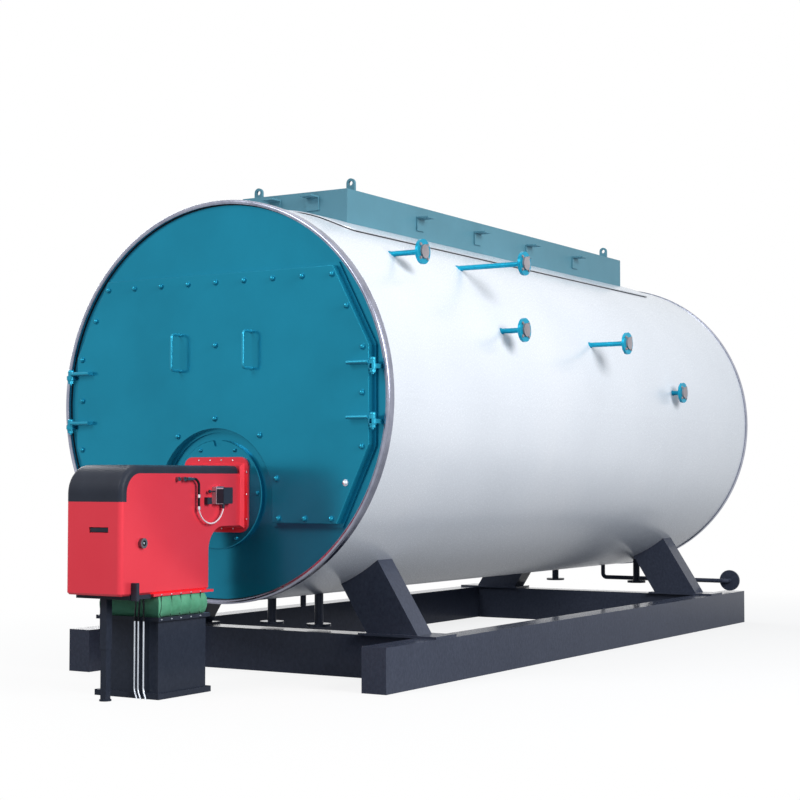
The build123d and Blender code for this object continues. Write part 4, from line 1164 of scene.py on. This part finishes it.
@dataclass
class Bellows:
    """Padded cloth sleeve between duct and burner, drawn in by tie cords down both sides."""

    shop: Workshop
    ties: tuple[float, ...] = (-1.597, -1.504, -1.416, -1.320, -1.228)
    columns: int = 96
    rows: int = 28
    side_margin: float = 0.026
    end_margin: float = 0.006
    inset: float = 0.011
    side_bulge: float = 0.024
    end_bulge: float = 0.005
    arch_power: float = 0.62
    tie_share: float = 0.42      # of the bulge, left at a tie
    tie_reach: float = 0.046     # how far along the sleeve a tie draws the cloth in
    tie_power: float = 0.75
    corner_share: float = 0.35   # of the bulge, left at a corner
    corner_reach: float = 0.05
    crease: float = 0.0022
    crease_noise: Point = (21.0, 3.2, 1.7)   # features along and up, and the place in the noise
    wave: float = 0.003
    wave_noise: Point = (9.0, 2.6, 4.1)
    cord: Bead = Bead(radius=0.0024, step=0.006, ripple=0.0012, ripple_scale=160.0)
    cord_shares: tuple[float, ...] = (0.9, 0.75, 0.6, 0.45, 0.3, 0.15)
    cord_sink: float = 0.7       # of the cord's radius, outside the cloth
    flange_share: float = 0.8    # of the height, above which a cord hangs clear of the flange
    cord_lean: float = 0.016
    cord_end_lean: float = 0.0185
    cord_rise: float = 0.003     # a cord's ends over the faces that hold them
    lip_step: float = 0.004
    lip_drop: float = 0.0115
    screw: Bolt = Bolt(
        Head.PAN, radius=0.0042, height=0.0035, washer_radius=0.005, washer_height=0.001, sides=12)

    def __post_init__(self) -> None:
        """Read the sleeve's box."""
        self.low, self.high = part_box("duct_bellows")
        self.half_x = self.high.x - self.side_margin
        self.front, self.back = self.low.y + self.end_margin, self.high.y - self.end_margin
        self.length, self.height = self.back - self.front, self.high.z - self.low.z

    def arch(self, share: float) -> float:
        """Share of the bulge at a share of the height."""
        return math.sin(math.pi * share) ** self.arch_power

    def draw_in(self, y: float) -> float:
        """Share of the bulge that the ties leave at a place along the sleeve.

        Args:
            y: Place along the boiler.

        Returns:
            A share from the least at a tie to 1 between two.
        """
        gap = min(abs(y - tie) for tie in self.ties)
        rise = math.sin(min(gap / self.tie_reach, 1.0) * math.pi / 2) ** self.tie_power
        return self.tie_share + (1 - self.tie_share) * rise

    def swell(self, y: float, share: float, level: float) -> float:
        """How far the side stands out.

        Args:
            y: Place along the boiler.
            share: Share of the height.
            level: Share of the side's bulge.

        Returns:
            Distance from the sleeve's half width, in metres.
        """
        arch = self.arch(share)
        corner = min((y - self.front) / self.corner_reach, (self.back - y) / self.corner_reach, 1.0)
        fade = self.corner_share + (1 - self.corner_share) * max(corner, 0.0)
        along, up, place = self.crease_noise
        crease = self.crease * noise.noise(Vector((y * along, share * up, place)))
        return -self.inset * (1 - arch) + arch * (self.side_bulge * level * fade + crease)

    def outline(self, share: float) -> list[Point]:
        """Points round the sleeve at one height.

        Args:
            share: Share of the height.

        Returns:
            The points, counter-clockwise from above.
        """
        z = self.low.z + self.height * share
        arch = self.arch(share)
        end = -self.inset * (1 - arch) + self.end_bulge * arch
        middle = (self.front + self.back) / 2
        along, up, place = self.wave_noise
        line: list[Point] = []
        for side in SIDES:
            for i in range(self.columns):
                t = i / self.columns
                y = self.front + self.length * (t if side > 0 else 1 - t)
                stretch = (y - middle) * (1 + 2 * end / self.length)
                x = self.half_x + self.swell(y, share, self.draw_in(y))
                line.append((side * x, middle + stretch, z))
            corner = self.half_x + self.swell(self.back if side > 0 else self.front, share, 1.0)
            edge = self.back + end if side > 0 else self.front - end
            for i in range(self.columns):
                x = side * corner * (1 - 2 * i / self.columns)
                wave = self.wave * arch * noise.noise(Vector((x * along, share * up, place * side)))
                line.append((x, edge + side * (wave if i else 0.0), z))
        return line

    def build(self) -> None:
        """Make and seat the sleeve, its ties and their screws."""
        shape = bmesh.new()
        layer = shape.loops.layers.uv.new("cloth")
        rows = [[shape.verts.new(p) for p in self.outline(j / self.rows)] for j in range(self.rows + 1)]
        width = len(rows[0])
        pitch = 2 * (2 * self.half_x + self.length) / width
        rise = self.height / self.rows
        for j in range(self.rows):
            for i in range(width):
                k = (i + 1) % width
                face = shape.faces.new((rows[j][i], rows[j][k], rows[j + 1][k], rows[j + 1][i]))
                for loop, (u, v) in zip(face.loops, ((i, j), (i + 1, j), (i + 1, j + 1), (i, j + 1))):
                    loop[layer].uv = (u * pitch, v * rise)
                face.smooth = True
        shape.faces.new(list(reversed(rows[0])))
        shape.faces.new(rows[-1])
        sleeve = self.shop.mount(shape, "bellows_sleeve", Body.BOILER, Slot.BELLOWS)
        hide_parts("duct_bellows")
        self.build_ties()

    def build_ties(self) -> None:
        """Tie cords down both sides, each held by a screw at both ends."""
        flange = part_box("burner_base_flange")
        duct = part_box("supply_duct")
        top_x, top_z = flange[1].x, (flange[0].z + flange[1].z) / 2
        lip_x, lip_z = duct[1].x - self.lip_step, duct[1].z - self.lip_drop
        runs: list[list[Point]] = []
        screws: list[Facing] = []
        for side in SIDES:
            for tie in self.ties:
                line = [(side * (top_x + self.cord_rise), tie, top_z)]
                for share in self.cord_shares:
                    out = self.half_x + self.swell(tie, share, self.draw_in(tie))
                    out += self.cord.radius * self.cord_sink
                    line.append((side * max(out, top_x if share > self.flange_share else out),
                                 tie - self.cord_lean * (1 - share), self.low.z + self.height * share))
                foot = tie - self.cord_end_lean
                line.append((side * (lip_x + self.cord_rise), foot, lip_z))
                runs.append(line)
                screws.append(((side * top_x, tie, top_z), (side, 0, 0)))
                screws.append(((side * lip_x, foot, lip_z), (side, 0, 0)))
        self.shop.beads("bellows_ties", self.cord, runs, Body.BOILER, Slot.HOSE, finish=self.shop.book.cord)
        self.shop.bolts("tie_screws", self.screw, screws, Body.BOILER, Slot.BRIGHT)


@dataclass(frozen=True)
class Lamp:
    """A soft square lamp: where it stands, what it points at, its side in metres and its watts."""

    name: str
    place: Point
    target: Point
    size: float
    power: float

    def build(self) -> None:
        """Put the lamp into the scene."""
        data = bpy.data.lights.new(self.name, "AREA")
        data.shape = "SQUARE"
        data.size = self.size
        data.energy = self.power
        lamp = bpy.data.objects.new(self.name, data)
        lamp.location = self.place
        lamp.rotation_mode = "QUATERNION"
        lamp.rotation_quaternion = (Vector(self.target) - Vector(self.place)).to_track_quat("-Z", "Y")
        bpy.context.scene.collection.objects.link(lamp)


@dataclass
class Studio:
    """Camera, lamps, floor and surroundings."""

    camera_place: Point = (6.7112, -9.5073, 1.2956)
    camera_turn: float = 31.425
    camera_pitch: float = 2.657
    camera_lens: float = 76.77
    camera_sensor: float = 36.0
    camera_end: float = 200.0
    lamps: tuple[Lamp, ...] = (
        Lamp("right_key", (10.8, -1.6, 5.9), (0.3, 2.0, 1.6), 6.0, 1260.0),
        Lamp("front_fill", (-2.5, -9.0, 7.4), (0.0, -0.8, 1.3), 4.4, 450.0),
        Lamp("left_fill", (-9.0, 6.5, 6.0), (0.0, 2.5, 1.6), 6.0, 700.0),
        Lamp("overhead", (0.0, 2.0, 9.5), (0.0, 2.0, 1.5), 8.0, 130.0),
    )
    sky: Colour = (0.74, 0.88, 1.0)
    sky_strength: float = 0.24
    floor_reach: float = 90.0
    floor_lit: Colour = (0.13, 0.14, 0.16)     # as light and in reflections
    floor_seen: Colour = (0.86, 0.86, 0.87)
    shade_middle: Point = (1.2, 3.0, 0.0)      # the shadow shows most within a distance of this place
    shade_near: float = 2.5
    shade_far: float = 6.5
    seen_share: float = 0.8                    # of plain white in the floor near that place
    mirror_share: float = 0.42

    def build(self) -> None:
        """Set up the camera, the light and the floor."""
        scene = bpy.context.scene
        scene.view_settings.view_transform = "Standard"
        self.place_camera(scene)
        for lamp in self.lamps:
            lamp.build()
        self.surroundings(scene)
        self.floor()

    def place_camera(self, scene: bpy.types.Scene) -> None:
        """Stand the camera where the photograph was taken.

        Args:
            scene: Scene that uses it.
        """
        turn, pitch = math.radians(self.camera_turn), math.radians(self.camera_pitch)
        ahead = Vector((-math.sin(turn) * math.cos(pitch), math.cos(turn) * math.cos(pitch), math.sin(pitch)))
        data = bpy.data.cameras.new("camera")
        data.lens = self.camera_lens
        data.sensor_width = self.camera_sensor
        data.clip_end = self.camera_end
        camera = bpy.data.objects.new("camera", data)
        camera.location = self.camera_place
        camera.rotation_mode = "QUATERNION"
        camera.rotation_quaternion = ahead.to_track_quat("-Z", "Y")
        scene.collection.objects.link(camera)
        scene.camera = camera

    @staticmethod
    def seen(graph: Graph) -> tuple[Socket, Socket]:
        """Values that are 1 where the camera looks, and where a reflection or a clear piece looks.

        Args:
            graph: Tree that uses them.

        Returns:
            The two values.
        """
        path = graph.add("ShaderNodeLightPath").outputs
        mirror = graph.calc("MAXIMUM", path["Is Glossy Ray"], path["Is Transmission Ray"])
        return path["Is Camera Ray"], mirror

    def surroundings(self, scene: bpy.types.Scene) -> None:
        """White where it is seen, soft and bluish as light.

        Args:
            scene: Scene that gets the world.
        """
        world = bpy.data.worlds.new("surroundings")
        world.use_nodes = True
        graph = Graph(world.node_tree)
        light, white = (
            graph.add("ShaderNodeBackground", {"Color": (*colour, 1.0), "Strength": strength}).outputs[0]
            for colour, strength in ((self.sky, self.sky_strength), (WHITE, 1.0)))
        graph.show("World Output", graph.calc("MAXIMUM", *self.seen(graph)), light, white)
        scene.world = world

    def floor(self) -> None:
        """Pale floor that keeps a soft shadow."""
        mesh = bpy.data.meshes.new("floor")
        corners = ((-1, -1), (1, -1), (1, 1), (-1, 1))
        places = [(self.floor_reach * x, self.floor_reach * y, 0) for x, y in corners]
        mesh.from_pydata(places, [], [(0, 1, 2, 3)])
        material = bpy.data.materials.new("floor")
        material.use_nodes = True
        graph = Graph(material.node_tree)
        graph.tree.nodes.remove(graph.tree.nodes["Principled BSDF"])
        camera, mirror = self.seen(graph)
        tone = graph.add("ShaderNodeMix", {0: camera, 6: (*self.floor_lit, 1.0), 7: (*self.floor_seen, 1.0)},
                         data_type="RGBA").outputs[2]
        matt = graph.add("ShaderNodeBsdfDiffuse", {"Color": tone}).outputs[0]
        white = graph.add("ShaderNodeEmission", {"Strength": 1.0}).outputs[0]
        place = graph.add("ShaderNodeTexCoord").outputs["Object"]
        away = graph.add("ShaderNodeVectorMath", {0: place, 1: self.shade_middle}, operation="DISTANCE")
        shares = []
        for ray, near in ((camera, self.seen_share), (mirror, self.mirror_share)):
            fade = graph.add("ShaderNodeMapRange", {
                "Value": away.outputs["Value"], "From Min": self.shade_near, "From Max": self.shade_far,
                "To Min": near, "To Max": 1.0,
            })
            shares.append(graph.calc("MULTIPLY", ray, fade.outputs["Result"]))
        graph.show("Material Output", graph.calc("MAXIMUM", *shares), matt, white)
        mesh.materials.append(material)
        link(mesh, "floor")


@dataclass
class CadPieces:
    """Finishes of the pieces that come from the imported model."""

    nodes: dict[str, Piece]
    subparts: list[dict]
    book: FinishBook

    def dress(self) -> None:
        """Give every piece its own finish, or that of its slot."""
        for part in self.subparts:
            name = part["node"]
            finish = self.book.by_node.get(name) or self.book.by_slot[Slot(part["material_slot"])]
            piece = self.nodes[name]
            piece.data.materials.clear()
            piece.data.materials.append(finish)
            LOG.info("%s: %s", name, finish.name)


def main() -> None:
    """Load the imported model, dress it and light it."""
    logging.basicConfig(level=logging.INFO, format="%(message)s")
    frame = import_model()
    book = FinishBook()
    CadPieces(frame["nodes"], frame["record"]["subparts"], book).dress()
    shop = Workshop(book)
    for assembly in (FrontDoor, FrontPlate, SideNozzles, TopSheet, Burner, Bellows):
        assembly(shop).build()
    Studio().build()


if __name__ == "__main__":
    main()
